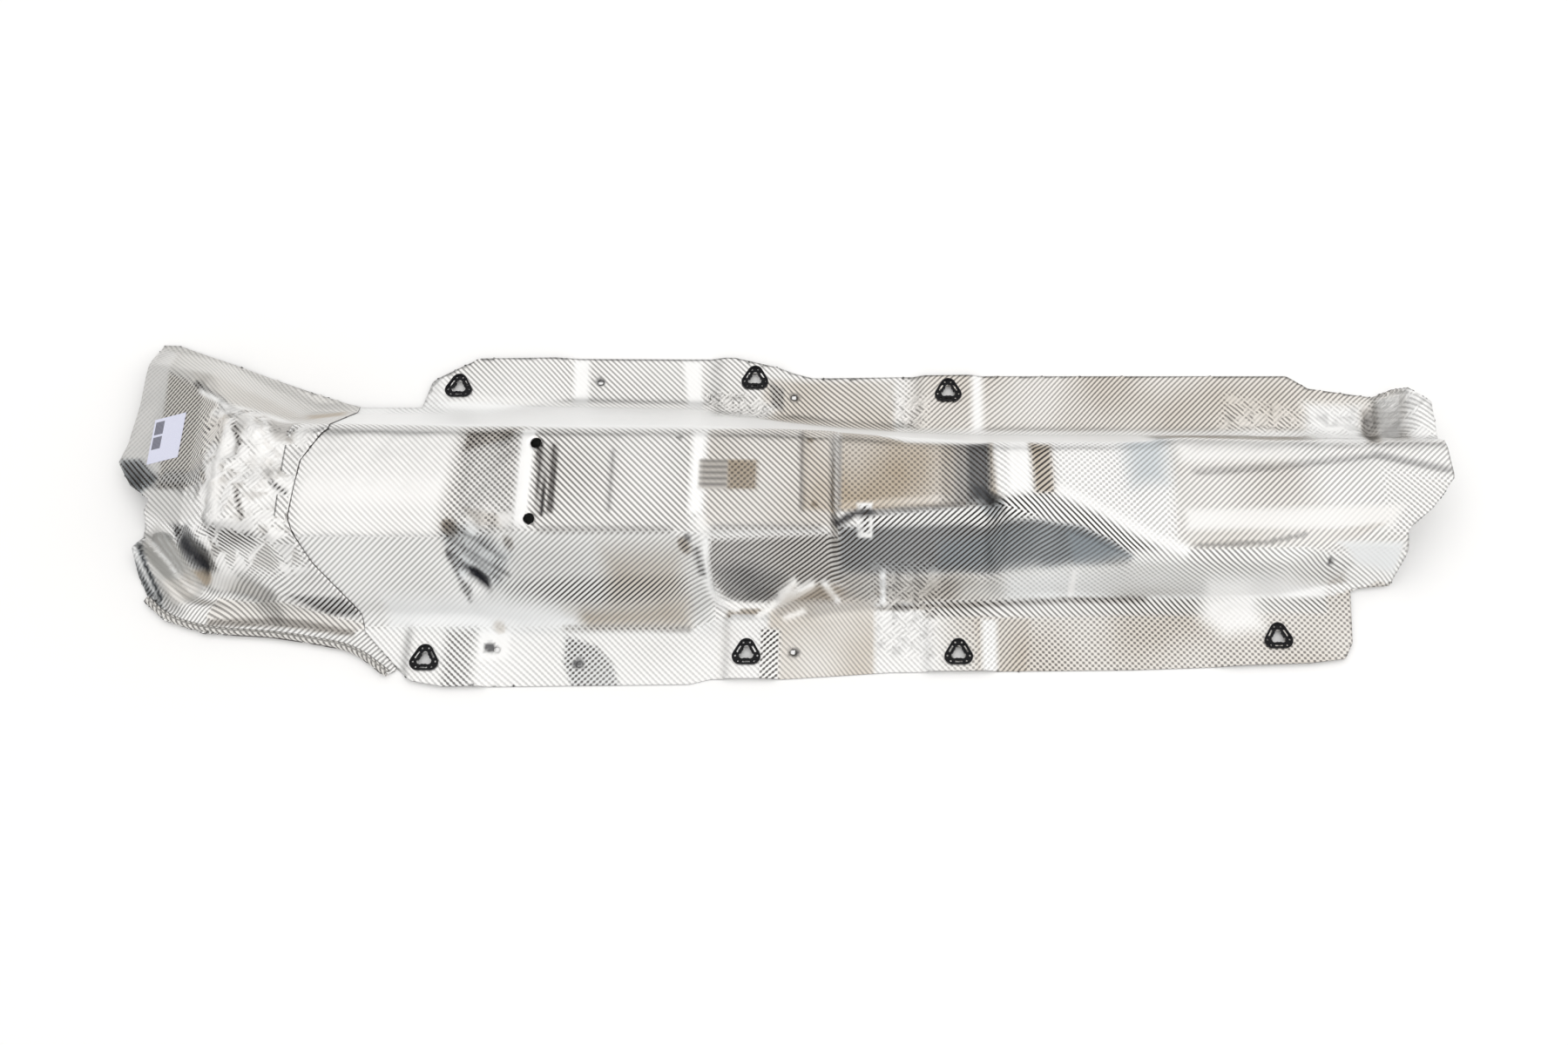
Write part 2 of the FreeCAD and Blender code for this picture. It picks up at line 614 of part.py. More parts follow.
# Rolled hem, swept along the near edge and lying on the main sheet's flange
hem_corners = [spots[name] for name in HEM_CORNERS]
hem_line = doc.addObject("Sketcher::SketchObject", "hem_line")
draw_open_line(hem_line, hem_corners)
hem_height = "%s + %s" % (MOUTH_UNDER, HEM_RADIUS)
bind(hem_line, Placement__Base__z=hem_height)
hem_ring = doc.addObject("Part::Circle", "hem_ring")
start_x, start_y = hem_corners[0]
next_x, next_y = hem_corners[1]
hem_place = "vector(%s; %s; %s)" % (start_x, start_y, hem_height)
hem_axis = "vector(%s - %s; %s - (%s); 0)" % (start_y, next_y, next_x, start_x)
bind(hem_ring, Radius=HEM_RADIUS,
     Placement="placement(%s; rotation(%s; 90))" % (hem_place, hem_axis))
hem_roll = doc.addObject("Part::Sweep", "hem_roll")
hem_roll.Sections = [hem_ring]
hem_roll.Spine = (hem_line, ["Edge%d" % (number + 1) for number in range(len(hem_corners) - 1)])
hem_roll.Transition = "Right corner"
hem_roll.Solid = True
front_panel = doc.addObject("Part::MultiFuse", "front_panel")
front_panel.Shapes = [mouth_trimmed, hem_roll]
front_panel.Refine = False

# Label: a thin skin over the sloping front of the bell mouth
label_form = press_form("label_form", MOUTH_SECTIONS, LABEL_TOP, "0")
label_block = doc.addObject("Part::Box", "label_block")
bind(label_block, Length=LABEL_LENGTH, Width=LABEL_WIDTH, Height=TRIM_HEIGHT,
     Placement__Base__x="-%s - %s" % (SEAM_X, LABEL_LEAD), Placement__Base__y=LABEL_SIDE)
label = cut("label", common("label_patch", label_form, label_block), mouth_die)


def clip(name, x_text, y_text):
    """One retaining clip, seated on the sheet with its legs snapped through the hole."""
    body = doc.addObject("PartDesign::Body", name)
    plate = new_sketch(body, name + "_plate", "XY_Plane")
    rounded_triangle(plate, CLIP_CENTRE, CLIP_RADIUS)
    pad(body, plate, CLIP_PLATE, False)
    leg = new_sketch(body, name + "_leg", "XY_Plane")
    draw_box(leg, "0", "-" + GRIP_RADIUS, LEG_WIDTH, "2 * " + LEG_WALL)
    leg_pad = pad(body, leg, "%s + %s + %s" % (SHEET, LEG_PLAY, SNAP_HEIGHT), True)
    repeat_three(body, leg_pad)
    foot = new_sketch(body, name + "_foot", "XY_Plane")
    bind(foot, AttachmentOffset__Base__z="-(%s + %s)" % (SHEET, LEG_PLAY))
    draw_box(foot, "0", "-" + GRIP_RADIUS, LEG_WIDTH, "2 * (%s + %s)" % (LEG_WALL, SNAP))
    foot_pad = pad(body, foot, SNAP_HEIGHT, True)
    repeat_three(body, foot_pad)
    floor = new_sketch(body, name + "_floor", "XY_Plane")
    bind(floor, AttachmentOffset__Base__z=CLIP_PLATE)
    rounded_triangle(floor, CLIP_CENTRE, "%s - %s" % (CLIP_RADIUS, CLIP_RIM))
    recess = body.newObject("PartDesign::Pocket", name + "_recess")
    recess.Profile = floor
    bind(recess, Length="%s - %s" % (CLIP_PLATE, CLIP_WEB))
    body.Tip = recess
    grip = new_sketch(body, name + "_grip", "XY_Plane")
    circle(grip, "0", "0", GRIP_RADIUS)
    pierce(body, grip)
    eye = new_sketch(body, name + "_eye", "XY_Plane")
    circle(eye, "0", EYE_CENTRE, EYE_RADIUS)
    repeat_three(body, pierce(body, eye))
    windows = new_sketch(body, name + "_windows", "XY_Plane")
    draw_box(windows, "0", "-" + WINDOW_CENTRE, WINDOW_LENGTH, WINDOW_WIDTH)
    draw_box(windows, PEEP_SIDE, PEEP_CENTRE, PEEP_SIZE, PEEP_SIZE)
    draw_box(windows, "-" + PEEP_SIDE, PEEP_CENTRE, PEEP_SIZE, PEEP_SIZE)
    repeat_three(body, pierce(body, windows))
    bind(body, Placement__Base__x=x_text, Placement__Base__y=y_text,
         Placement__Base__z="%s + %s" % (SEAT_RISE, SHEET))
    return body


retaining_clips = doc.addObject("Part::Compound", "retaining_clips")
retaining_clips.Links = [clip(row[0], *spots[row[0]]) for row in CLIPS]

# Every feature has to stand before any file is written
doc.recompute()
for item in doc.Objects:
    if "Invalid" in item.State or "Error" in item.State:
        raise RuntimeError("%s failed: %s" % (item.Name, item.State))
os.makedirs("parts", exist_ok=True)
for node, solids in ((main_panel, 1), (front_panel, 1), (label, 1), (retaining_clips, len(CLIPS))):
    node.Label = node.Name
    shape = node.Shape
    if shape.isNull() or not shape.isValid() or len(shape.Solids) != solids:
        raise RuntimeError("%s is not sound" % node.Label)
    shape.exportStep("parts/%s.step" % node.Label)
    print(node.Label, "volume %.1f cm3" % (shape.Volume / 1000), "faces", len(shape.Faces))
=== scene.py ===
# %% [markdown]
# # Dressing an exhaust heat shield
#
# The real object is a long tunnel of thin aluminium sheet that keeps the heat of an exhaust
# pipe off a car's floor. Its whole skin is embossed with rows of tiny dimples, so the metal
# reads as bright diagonal hatching instead of a mirror. A second sheet, the bell mouth, laps
# over its front end, and seven black plastic clips sit on the flanges.
#
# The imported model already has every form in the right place. This lesson lays a finer,
# embossed sheet over it, and gives the clips and the label their finishes. Lengths are
# written in millimetres and turned into metres where a mesh is made. Far is the side away
# from the camera, where y is positive, near is the camera's side, and the front is the bell
# mouth's end, where x is negative.

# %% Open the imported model
import math

import bmesh
import bpy
import numpy as np
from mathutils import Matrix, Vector, noise
from mathutils.bvhtree import BVHTree
from mathutils.kdtree import KDTree


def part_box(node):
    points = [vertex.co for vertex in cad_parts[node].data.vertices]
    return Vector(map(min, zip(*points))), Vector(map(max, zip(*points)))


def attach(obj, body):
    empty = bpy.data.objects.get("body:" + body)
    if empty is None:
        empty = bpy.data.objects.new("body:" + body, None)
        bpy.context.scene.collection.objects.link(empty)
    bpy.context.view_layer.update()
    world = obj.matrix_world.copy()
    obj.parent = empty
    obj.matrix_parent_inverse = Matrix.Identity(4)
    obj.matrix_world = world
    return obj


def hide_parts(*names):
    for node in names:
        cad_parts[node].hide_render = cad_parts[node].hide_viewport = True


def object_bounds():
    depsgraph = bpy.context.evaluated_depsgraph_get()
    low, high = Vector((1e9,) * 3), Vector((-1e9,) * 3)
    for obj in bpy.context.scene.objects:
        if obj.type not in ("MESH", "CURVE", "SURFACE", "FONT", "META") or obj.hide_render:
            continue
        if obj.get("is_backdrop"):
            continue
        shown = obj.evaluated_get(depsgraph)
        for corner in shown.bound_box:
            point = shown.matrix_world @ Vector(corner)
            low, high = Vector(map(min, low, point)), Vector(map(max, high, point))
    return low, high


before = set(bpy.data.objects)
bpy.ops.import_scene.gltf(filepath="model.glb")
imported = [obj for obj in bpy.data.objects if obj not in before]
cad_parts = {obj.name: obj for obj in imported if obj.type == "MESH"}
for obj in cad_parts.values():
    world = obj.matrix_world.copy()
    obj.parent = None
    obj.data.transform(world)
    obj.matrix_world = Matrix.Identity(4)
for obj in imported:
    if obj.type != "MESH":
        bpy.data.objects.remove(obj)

cad_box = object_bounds()
MM = 0.001
ROOT = "root"
print("packed model:", ", ".join(sorted(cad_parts)))

# %% [markdown]
# ## The photographer's side
#
# The shield was photographed from above its near long side. A camera can be placed by hand
# and turned until the picture fits, or by the point it looks at, its distance and its height
# over the horizon. The second way keeps three plain numbers that can be changed one by one.
# The subject sits a little left of the lens axis, as in a cropped picture, so the frame is
# shifted instead of turned.

# %% Camera
LOOK_AT = Vector((159.5, -36.5, 50)) * MM
CAMERA_DISTANCE = 1795 * MM
CAMERA_RISE = math.radians(68)
lens = bpy.data.cameras.new("photo_camera")
lens.lens = 35.9
lens.shift_x = -0.0806
camera = bpy.data.objects.new("photo_camera", lens)
towards_camera = Vector((0, -math.cos(CAMERA_RISE), math.sin(CAMERA_RISE)))
camera.location = LOOK_AT + towards_camera * CAMERA_DISTANCE
camera.rotation_euler = (-towards_camera).to_track_quat("-Z", "Y").to_euler()
bpy.context.scene.collection.objects.link(camera)
bpy.context.scene.camera = camera
bpy.context.scene.view_settings.view_transform = "Standard"
print("camera at", [round(c, 3) for c in camera.location])

# %% [markdown]
# ## Floor and light
#
# Bare metal shows its surroundings more than its own colour. The set is a plain pale floor
# under a pale studio sky that is brightest overhead, a little to the right and to the front,
# and falls to a grey low down. Large lamps could make that gradient too, but they would show
# as hard-edged patches in the metal, so the sky makes it and two soft lamps only add to it.


# %% Floor
def new_finish(name):
    finish = bpy.data.materials.new(name)
    finish.use_nodes = True
    return finish, finish.node_tree, finish.node_tree.nodes["Principled BSDF"]


def to_object(mesh, name, *finishes):
    data = bpy.data.meshes.new(name)
    mesh.to_mesh(data)
    mesh.free()
    for finish in finishes:
        data.materials.append(finish)
    made = bpy.data.objects.new(name, data)
    bpy.context.scene.collection.objects.link(made)
    return made


FLOOR_DROP = 0.3
FLOOR_REACH = 9
floor_finish, _, shader = new_finish("pale_floor")
shader.inputs["Base Color"].default_value = (0.95, 0.95, 0.95, 1)
shader.inputs["Roughness"].default_value = 0.9
shader.inputs["Specular IOR Level"].default_value = 0.1
mesh = bmesh.new()
bmesh.ops.create_grid(mesh, x_segments=1, y_segments=1, size=FLOOR_REACH)
bmesh.ops.translate(mesh, verts=mesh.verts, vec=(0, 0, -FLOOR_DROP * MM))
floor = to_object(mesh, "floor", floor_finish)
floor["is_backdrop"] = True
print("floor at", -FLOOR_DROP, "mm")


# %% Studio sky
def wire(tree, kind, sockets=None, **options):
    """A shader node in one line: each socket is linked, or gets a value typed in."""
    node = tree.nodes.new(kind)
    for option, value in options.items():
        setattr(node, option, value)
    for socket, value in (sockets or {}).items():
        if isinstance(value, bpy.types.NodeSocket):
            tree.links.new(value, node.inputs[socket])
        else:
            node.inputs[socket].default_value = value
    return node.outputs


def blend_colours(tree, share, first, second):
    return wire(tree, "ShaderNodeMix", {0: share, 6: first, 7: second}, data_type="RGBA")[2]


def remap(tree, value, before, after, interpolation="LINEAR"):
    return wire(tree, "ShaderNodeMapRange",
                {"Value": value, "From Min": before[0], "From Max": before[1],
                 "To Min": after[0], "To Max": after[1]}, interpolation_type=interpolation)[0]


BRIGHT_SIDE = (0.35, -0.20, 0.91)
LOW_GREY = (0.36, 0.36, 0.355, 1)
HIGH_WHITE = (1.09, 1.08, 1.065, 1)
world = bpy.data.worlds.new("studio_sky")
world.use_nodes = True
bpy.context.scene.world = world
tree = world.node_tree
way = wire(tree, "ShaderNodeTexCoord")["Generated"]
facing = wire(tree, "ShaderNodeVectorMath", {0: way, 1: BRIGHT_SIDE}, operation="DOT_PRODUCT")["Value"]
sky = remap(tree, facing, (-0.22, 0.64), (0.0, 1.0), "SMOOTHSTEP")
tree.links.new(blend_colours(tree, sky, LOW_GREY, HIGH_WHITE), tree.nodes["Background"].inputs["Color"])
print("sky set:", world.name)


# %% Soft lamps
def soft_lamp(name, place, aim, width, height, power):
    light = bpy.data.lights.new(name, "AREA")
    light.shape = "RECTANGLE"
    light.size = width
    light.size_y = height
    light.energy = power
    lamp = bpy.data.objects.new(name, light)
    lamp.location = place
    lamp.rotation_euler = (Vector(aim) - Vector(place)).to_track_quat("-Z", "Y").to_euler()
    lamp.visible_glossy = False
    bpy.context.scene.collection.objects.link(lamp)


soft_lamp("overhead_softbox", (0.3, 0.5, 2.8), (0.1, 0, 0), 3.6, 2.6, 12)
soft_lamp("right_softbox", (3.0, 0.4, 1.3), (0.2, 0, 0), 2.0, 1.6, 5)

# %% [markdown]
# ## The embossed foil
#
# The emboss is a lattice of dimples, 7 mm from one to the next along the shield. A wave
# texture on Object coordinates would run straight through every bend. So the sheet carries
# its own lattice coordinates as an attribute, and the dimples follow it over walls and roof.
#
# Two crossed waves make the lattice. The attribute `press` says, place by place, how crumpled
# the foil is, how deep its dimples are, and which of the two waves is deeper; the depth sets
# both the bump and the painted shade in the dimples' valleys. A third attribute holds painted
# colour: a brownish tint that is partly a heat film and partly painted warm reflection, a
# painted bluish reflection, and painted shade. Where the press has rubbed the dimples flat the
# skin is satin instead of bright: that is `matt`.

# %% Emboss sizes, noise sizes, tints and painted shade colours
PITCH = 3.5
EMBOSS = 0.26
WAVE = math.pi / PITCH
CRINKLE_SCALE, CRINKLE_DEPTH = 0.075, 9.0
SWAY_SCALE, SWAY_DEPTH = 0.022, 2.2
SMUDGE_SCALE = 0.012
BARE_METAL = (0.95, 0.95, 0.945, 1)
# The warm colour is partly heat film and partly painted warm reflection, the bluish colour is a painted
# reflection, the dark colour is painted shade, and the dimple colour is painted shade in the dimples'
# valleys.
WARM_FILM_AND_REFLECTION = (0.56, 0.47, 0.36, 1)
PAINTED_BLUE_REFLECTION = (0.50, 0.57, 0.62, 1)
PAINTED_SHADE_COLOUR = (0.014, 0.015, 0.020, 1)
DIMPLE_SHADE = (0.045, 0.040, 0.038, 1)
print("dimples every", 2 * PITCH, "mm, pressed", 2 * EMBOSS, "mm deep")


# %% Dimples and crinkles as a height
def maths(tree, operation, *values, clamp=False):
    return wire(tree, "ShaderNodeMath", dict(enumerate(values)), operation=operation,
                use_clamp=clamp)[0]


def noise_at(tree, place, scale, detail, **more):
    return wire(tree, "ShaderNodeTexNoise",
                {"Vector": place, "Scale": scale, "Detail": detail, **more})[0]


def dimple_waves(tree, along, across, lean):
    """Two crossed waves. At a lean of 1 only the first is left, at -1 only the second."""
    waves = []
    for direction, share in (("ADD", 0.5), ("SUBTRACT", -0.5)):
        travelled = maths(tree, direction, along, across)
        wave = maths(tree, "COSINE", maths(tree, "MULTIPLY", travelled, WAVE))
        weight = maths(tree, "MULTIPLY_ADD", lean, share, 0.5)
        waves.append(maths(tree, "MULTIPLY", wave, weight))
    return maths(tree, "ADD", *waves)


def foil_height(tree, lattice, dimple, depth, crumple):
    """Fine dimples over sharp crinkles over a slow sway, all in millimetres."""
    crinkle = noise_at(tree, lattice, CRINKLE_SCALE, 4.0, Roughness=0.6, Distortion=0.6)
    crinkle = maths(tree, "ABSOLUTE", maths(tree, "SUBTRACT", crinkle, 0.5))
    crinkle = maths(tree, "MULTIPLY", crinkle, maths(tree, "MULTIPLY", crumple, CRINKLE_DEPTH))
    pressed = maths(tree, "MULTIPLY", dimple, depth)
    height = maths(tree, "MULTIPLY_ADD", pressed, 0.6 * EMBOSS, crinkle)
    sway = noise_at(tree, lattice, SWAY_SCALE, 2.0)
    return maths(tree, "MULTIPLY_ADD", sway, SWAY_DEPTH, height)


print("crinkles about", round(1 / CRINKLE_SCALE), "mm wide, sway about", round(1 / SWAY_SCALE), "mm")


# %% The foil's finish
def sheet_attribute(tree, name):
    vector = wire(tree, "ShaderNodeAttribute", attribute_name=name)["Vector"]
    return vector, wire(tree, "ShaderNodeSeparateXYZ", {0: vector})


def foil_finish(name):
    finish, tree, shader = new_finish(name)
    lattice, (along, across, _) = sheet_attribute(tree, "lattice")
    _, (crumple, depth, lean) = sheet_attribute(tree, "press")
    _, (warm, cool, shade) = sheet_attribute(tree, "film_and_painted_light")
    matt = wire(tree, "ShaderNodeAttribute", attribute_name="matt")["Fac"]
    dimple = dimple_waves(tree, along, across, lean)
    height = foil_height(tree, lattice, dimple, depth, crumple)
    bump = wire(tree, "ShaderNodeBump", {"Height": height, "Distance": MM, "Strength": 1.0})[0]

    smudge = noise_at(tree, lattice, SMUDGE_SCALE, 5.0)
    patchy = remap(tree, smudge, (0.32, 0.62), (0.8, 1.0))
    # Painted colour: the warm tint is partly heat film and partly painted reflection, the bluish tint
    # is a painted reflection, and the shade field is painted shade.
    tint = blend_colours(tree, maths(tree, "MULTIPLY", warm, patchy), BARE_METAL, WARM_FILM_AND_REFLECTION)
    tint = blend_colours(tree, maths(tree, "MULTIPLY", cool, patchy), tint, PAINTED_BLUE_REFLECTION)
    tint = blend_colours(tree, shade, tint, PAINTED_SHADE_COLOUR)
    # Painted shade in the dimples' valleys, where their slopes would turn from the light; the press's
    # depth sets how dark.
    valley = remap(tree, dimple, (0.32, -0.62), (0.0, 1.0), "SMOOTHSTEP")
    valley = maths(tree, "MULTIPLY", valley, depth, clamp=True)
    tint = blend_colours(tree, valley, tint, DIMPLE_SHADE)
    gloss = remap(tree, smudge, (0.3, 0.7), (0.20, 0.32))
    tree.links.new(tint, shader.inputs["Base Color"])
    tree.links.new(maths(tree, "MULTIPLY_ADD", matt, 0.25, gloss), shader.inputs["Roughness"])
    tree.links.new(maths(tree, "MULTIPLY_ADD", matt, -0.8, 1.0), shader.inputs["Metallic"])
    tree.links.new(bump, shader.inputs["Normal"])
    return finish


foil = foil_finish("embossed_aluminium")
print("finish:", foil.name, "with", len(foil.node_tree.nodes), "nodes")

# %% [markdown]
# ## Reading the pressed form
#
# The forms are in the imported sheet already, so nothing is measured twice: rays are dropped on
# it from above. Each station along the length gives a profile, and the profile is walked in
# equal steps, so that the lattice is as dense on the steep walls as on the roof. A plain
# shrinkwrap of a flat grid would stretch the dimples there. Where a ray finds a hole, the
# profile runs straight over it, and the hole is cut later.

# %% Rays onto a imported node
LAP = 1.35
UPRIGHT = 0.1
DOWN = Vector((0, 0, -1))
RAY_START = 0.3


def read_node(node):
    """The whole node, to drop rays on, and its upright faces, which are the cut edges."""
    mesh = bmesh.new()
    mesh.from_mesh(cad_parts[node].data)
    bmesh.ops.remove_doubles(mesh, verts=mesh.verts, dist=1e-6)
    whole = BVHTree.FromBMesh(mesh)
    sloping = [face for face in mesh.faces if abs(face.normal.z) > UPRIGHT]
    bmesh.ops.delete(mesh, geom=sloping, context="FACES")
    edges = BVHTree.FromBMesh(mesh)
    mesh.free()
    return whole, edges


def drop(whole, x, y):
    hit = whole.ray_cast(Vector((x * MM, y * MM, RAY_START)), DOWN)[0]
    return hit.z / MM if hit else math.nan


main_whole, _ = read_node("main_panel")
print("roof of the plateau:", round(drop(main_whole, -100, 0), 1), "mm up")


# %% Running means
def soften(values, times):
    for _ in range(times):
        for axis in (0, 1):
            padded = np.pad(values, [(1, 1) if a == axis else (0, 0) for a in (0, 1)], "edge")
            before, after = ((padded[:-2], padded[2:]) if axis == 0
                             else (padded[:, :-2], padded[:, 2:]))
            values = (before + 2 * values + after) / 4
    return values


def even_out(values, reach, times):
    """A mean along the length, so that rows cross a step without a jump."""
    for _ in range(times):
        padded = np.pad(values, [(reach, reach), (0, 0)], "edge")
        values = sum(padded[n:n + len(values)] for n in range(2 * reach + 1)) / (2 * reach + 1)
    return values


def extend(profiles, reach):
    """Cells past an end of the sheet take the height of the station next to them."""
    for _ in range(reach):
        for near, far in ((profiles[:-1], profiles[1:]), (profiles[1:], profiles[:-1])):
            empty = np.isnan(far) & np.isfinite(near)
            far[empty] = near[empty]
    return profiles


print("a step of 1 mm, softened once:", soften(np.array([[0.0, 0.0, 1.0, 1.0]]), 1)[0])

# %% Heights over a grid
SCAN_STEP = 1.4
SCAN_MARGIN = 14
FILL_REACH = 5


def scan(node, whole, skip, beyond):
    """Heights at every station and place. Past the sheet, beyond is read instead of it."""
    low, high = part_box(node)
    first, last = math.floor(low.x / MM / PITCH) - 2, math.ceil(high.x / MM / PITCH) + 3
    stations = np.arange(first, last) * PITCH
    places = np.arange(low.y / MM - SCAN_MARGIN, high.y / MM + SCAN_MARGIN + 1, SCAN_STEP)
    profiles = np.array([[drop(whole, x, y) for y in places] for x in stations])
    if beyond is not None:
        other = np.array([[drop(beyond, x, y) for y in places] for x in stations])
        profiles = np.where(np.isfinite(profiles), profiles, other + LAP)
    if skip is not None:
        profiles[skip(*np.meshgrid(stations, places, indexing="ij"))] = np.nan
    profiles = extend(profiles, FILL_REACH)
    filled = [row for row in range(len(stations)) if np.isfinite(profiles[row]).sum() > 3]
    heights = []
    for row in range(len(stations)):
        near = min(filled, key=lambda other: abs(other - row))
        known = np.isfinite(profiles[near])
        heights.append(np.interp(places, places[known], profiles[near][known]))
    return stations, places, np.array(heights)


print("rays every", PITCH, "mm along and", SCAN_STEP, "mm across")

# %% Profiles, walked in equal steps
MIDDLE = -14
BLEND_REACH = 7
CALM_RUN = 30


def walk(stations, places, heights, calm_from):
    """Lattice points an equal step apart along each profile, counted from the middle."""
    steps = np.hypot(np.diff(places)[None], np.diff(heights))
    lengths = np.concatenate([np.zeros((len(stations), 1)), np.cumsum(steps, axis=1)], axis=1)
    start = np.array([np.interp(MIDDLE, places, line) for line in lengths])
    lengths = even_out(lengths - start[:, None], BLEND_REACH, 2)
    rows = np.arange(math.floor(lengths.min() / PITCH), math.ceil(lengths.max() / PITCH) + 1)
    y = np.array([np.interp(rows * PITCH, line, places) for line in lengths])
    z = np.array([np.interp(rows * PITCH, line, profile) for line, profile in zip(lengths, heights)])
    x = np.repeat(stations[:, None], len(rows), axis=1)
    if calm_from is not None:
        z += (even_out(z, 2, 2) - z) * np.clip((x - calm_from) / CALM_RUN, 0, 1)
    return x, soften(y, 2), soften(z, 2), rows * PITCH


print("the lattice is counted from y", MIDDLE, "mm")

# %% [markdown]
# ## Marks of the press and of handling
#
# A pressed sheet is never clean: it has dents, wrinkles where the metal was gathered, and
# stamped fields. They could be sculpted by hand, but a sculpted mesh can't be changed by a
# number later. So each mark is a smooth function of the place on the sheet, in millimetres,
# and moves the sheet along its own normal. Moving the real mesh, and not only its shading,
# keeps the marks in the mesh's own shape.


# %% Creases, lines and hollows
def hollow(x, y, centre, size, angle=0.0):
    """A round or oval dip, 1 at its centre, turned by an angle in degrees."""
    cosine, sine = math.cos(math.radians(angle)), math.sin(math.radians(angle))
    east, north = x - centre[0], y - centre[1]
    along, across = east * cosine + north * sine, -east * sine + north * cosine
    return np.clip(1 - (along / size[0]) ** 2 - (across / size[1]) ** 2, 0, None) ** 1.5


def off_line(x, y, start, end):
    """How far a place is along a line, as a share of it, and how far away from it."""
    start, end = np.array(start, float), np.array(end, float)
    run = end - start
    share = ((x - start[0]) * run[0] + (y - start[1]) * run[1]) / (run @ run)
    held = np.clip(share, 0, 1)
    return share, np.hypot(x - start[0] - held * run[0], y - start[1] - held * run[1])


def crease(x, y, start, end, width):
    """A round-backed line, 1 on the line, which fades at both ends."""
    share, away = off_line(x, y, start, end)
    fade = np.clip(np.minimum(share + 0.1, 1.1 - share) * 6, 0, 1)
    return np.exp(-(away / width) ** 2) * fade


def path(x, y, points, width):
    """A line through several points."""
    return np.max([crease(x, y, start, end, width)
                   for start, end in zip(points, points[1:])], axis=0)


print("a crease 4 mm wide, 2 mm from its line:", round(crease(2.0, 0.0, (0, -9), (0, 9), 4), 2))


# %% Soft-edged fields
def field(x, y, low, high, edge):
    """A soft mask inside an upright rectangle."""
    inner = np.minimum(np.minimum(x - low[0], high[0] - x), np.minimum(y - low[1], high[1] - y))
    share = np.clip(inner / edge + 0.5, 0, 1)
    return share * share * (3 - 2 * share)


def outline(x, y, corners, edge):
    """A soft mask inside an outline, which fades over the width edge."""
    away, inner = np.full(x.shape, np.inf), np.zeros(x.shape, bool)
    for (ax, ay), (bx, by) in zip(corners, corners[1:] + corners[:1]):
        away = np.minimum(away, off_line(x, y, (ax, ay), (bx, by))[1])
        if ay != by:
            inner ^= ((ay > y) != (by > y)) & (x < ax + (y - ay) * (bx - ax) / (by - ay))
    share = np.clip(np.where(inner, away, -away) / edge + 0.5, 0, 1)
    return share * share * (3 - 2 * share)


def block(left, far, right, near):
    """The corners of a plain rectangle."""
    return [(left, far), (right, far), (right, near), (left, near)]


print("a block's corners:", block(-2, 1, 2, -1))


# %% Facets of crumpled foil
LOOSENESS = 0.42


def facets(x, y, mask, size, seed):
    """A loose sheet of flat facets, read from above: each place's height and a shine."""
    left, right = x[mask > 0.01].min() - size, x[mask > 0.01].max() + size
    near, far = y[mask > 0.01].min() - size, y[mask > 0.01].max() + size
    loose = bmesh.new()
    bmesh.ops.create_grid(loose, x_segments=round((right - left) / size),
                          y_segments=round((far - near) / size), size=1)
    bmesh.ops.scale(loose, verts=loose.verts, vec=((right - left) / 2, (far - near) / 2, 1))
    bmesh.ops.translate(loose, verts=loose.verts, vec=((left + right) / 2, (near + far) / 2, 0))
    noise.seed_set(seed)
    for vert in loose.verts:
        vert.co += Vector((LOOSENESS * size, LOOSENESS * size, 1)) * noise.random_vector()
    bmesh.ops.triangulate(loose, faces=loose.faces, quad_method="SHORT_EDGE")
    chance = [noise.random() * 2 - 1 for _ in loose.faces]
    seen = BVHTree.FromBMesh(loose)
    loose.free()
    lift, shine = np.zeros_like(x), np.zeros_like(x)
    for spot in map(tuple, np.argwhere(mask > 0.01)):
        hit, _, number, _ = seen.ray_cast(Vector((x[spot], y[spot], 9)), DOWN)
        if hit:
            lift[spot], shine[spot] = hit.z, chance[number]
    return lift * mask, shine * mask


print("a facet's corners stray by", LOOSENESS, "of its size")


# %% Gathers and slow changes
def gathered(x, y, mask, size, seed):
    """Folded foil: ridged noise wherever the mask is above nothing."""
    rough = np.zeros_like(x)
    for spot in map(tuple, np.argwhere(mask > 0.01)):
        place = Vector((x[spot] / size, y[spot] / size, seed))
        rough[spot] = 0.5 - abs(noise.noise(place) + 0.5 * noise.noise(place * 2.1))
    return rough * mask


def patchwork(x, y, size, seed):
    """Smooth noise between about -1 and 1, for fields that change from place to place."""
    rough = np.zeros_like(x)
    for spot in np.ndindex(x.shape):
        rough[spot] = noise.noise(Vector((x[spot] / size, y[spot] / size, seed)))
    return np.clip(rough * 2.2, -1, 1)


print("noise at one place:", round(noise.noise(Vector((0.3, 0.4, 5.0))), 3))


# %% Looks, painted field by field
def plain_look(x):
    look = dict(crumple=0.0, depth=0.5, lean=0.7, warm=0.05, cool=0.0, shade=0.0, flat=0.0,
                matt=0.0)
    return {name: np.full(x.shape, value) for name, value in look.items()}


def paint(look, mask, **values):
    for name, value in values.items():
        look[name] = look[name] + (value - look[name]) * mask


def paint_zones(look, x, y, zones):
    for corners, edge, values in zones:
        paint(look, outline(x, y, corners, edge), **values)


def paint_lines(look, x, y, lines):
    for points, width, values in lines:
        paint(look, np.clip(1.4 * path(x, y, points, width), 0, 1), **values)


print("a look has:", ", ".join(plain_look(np.zeros(1))))

# %% [markdown]
# ## Laying a sheet
#
# A grid from `bmesh.ops.create_grid` is draped over the profiles, point by point. The faces
# that lie past the trimmed edge or over a hole are deleted, the new edge is drawn onto the
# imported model's cut edge, and the edge is extruded down for the sheet's thickness. A grid of
# half the density closes the sheet from below, where nobody needs single dimples. A Solidify
# modifier would double the fine grid there, and the sheet would be twice as heavy.

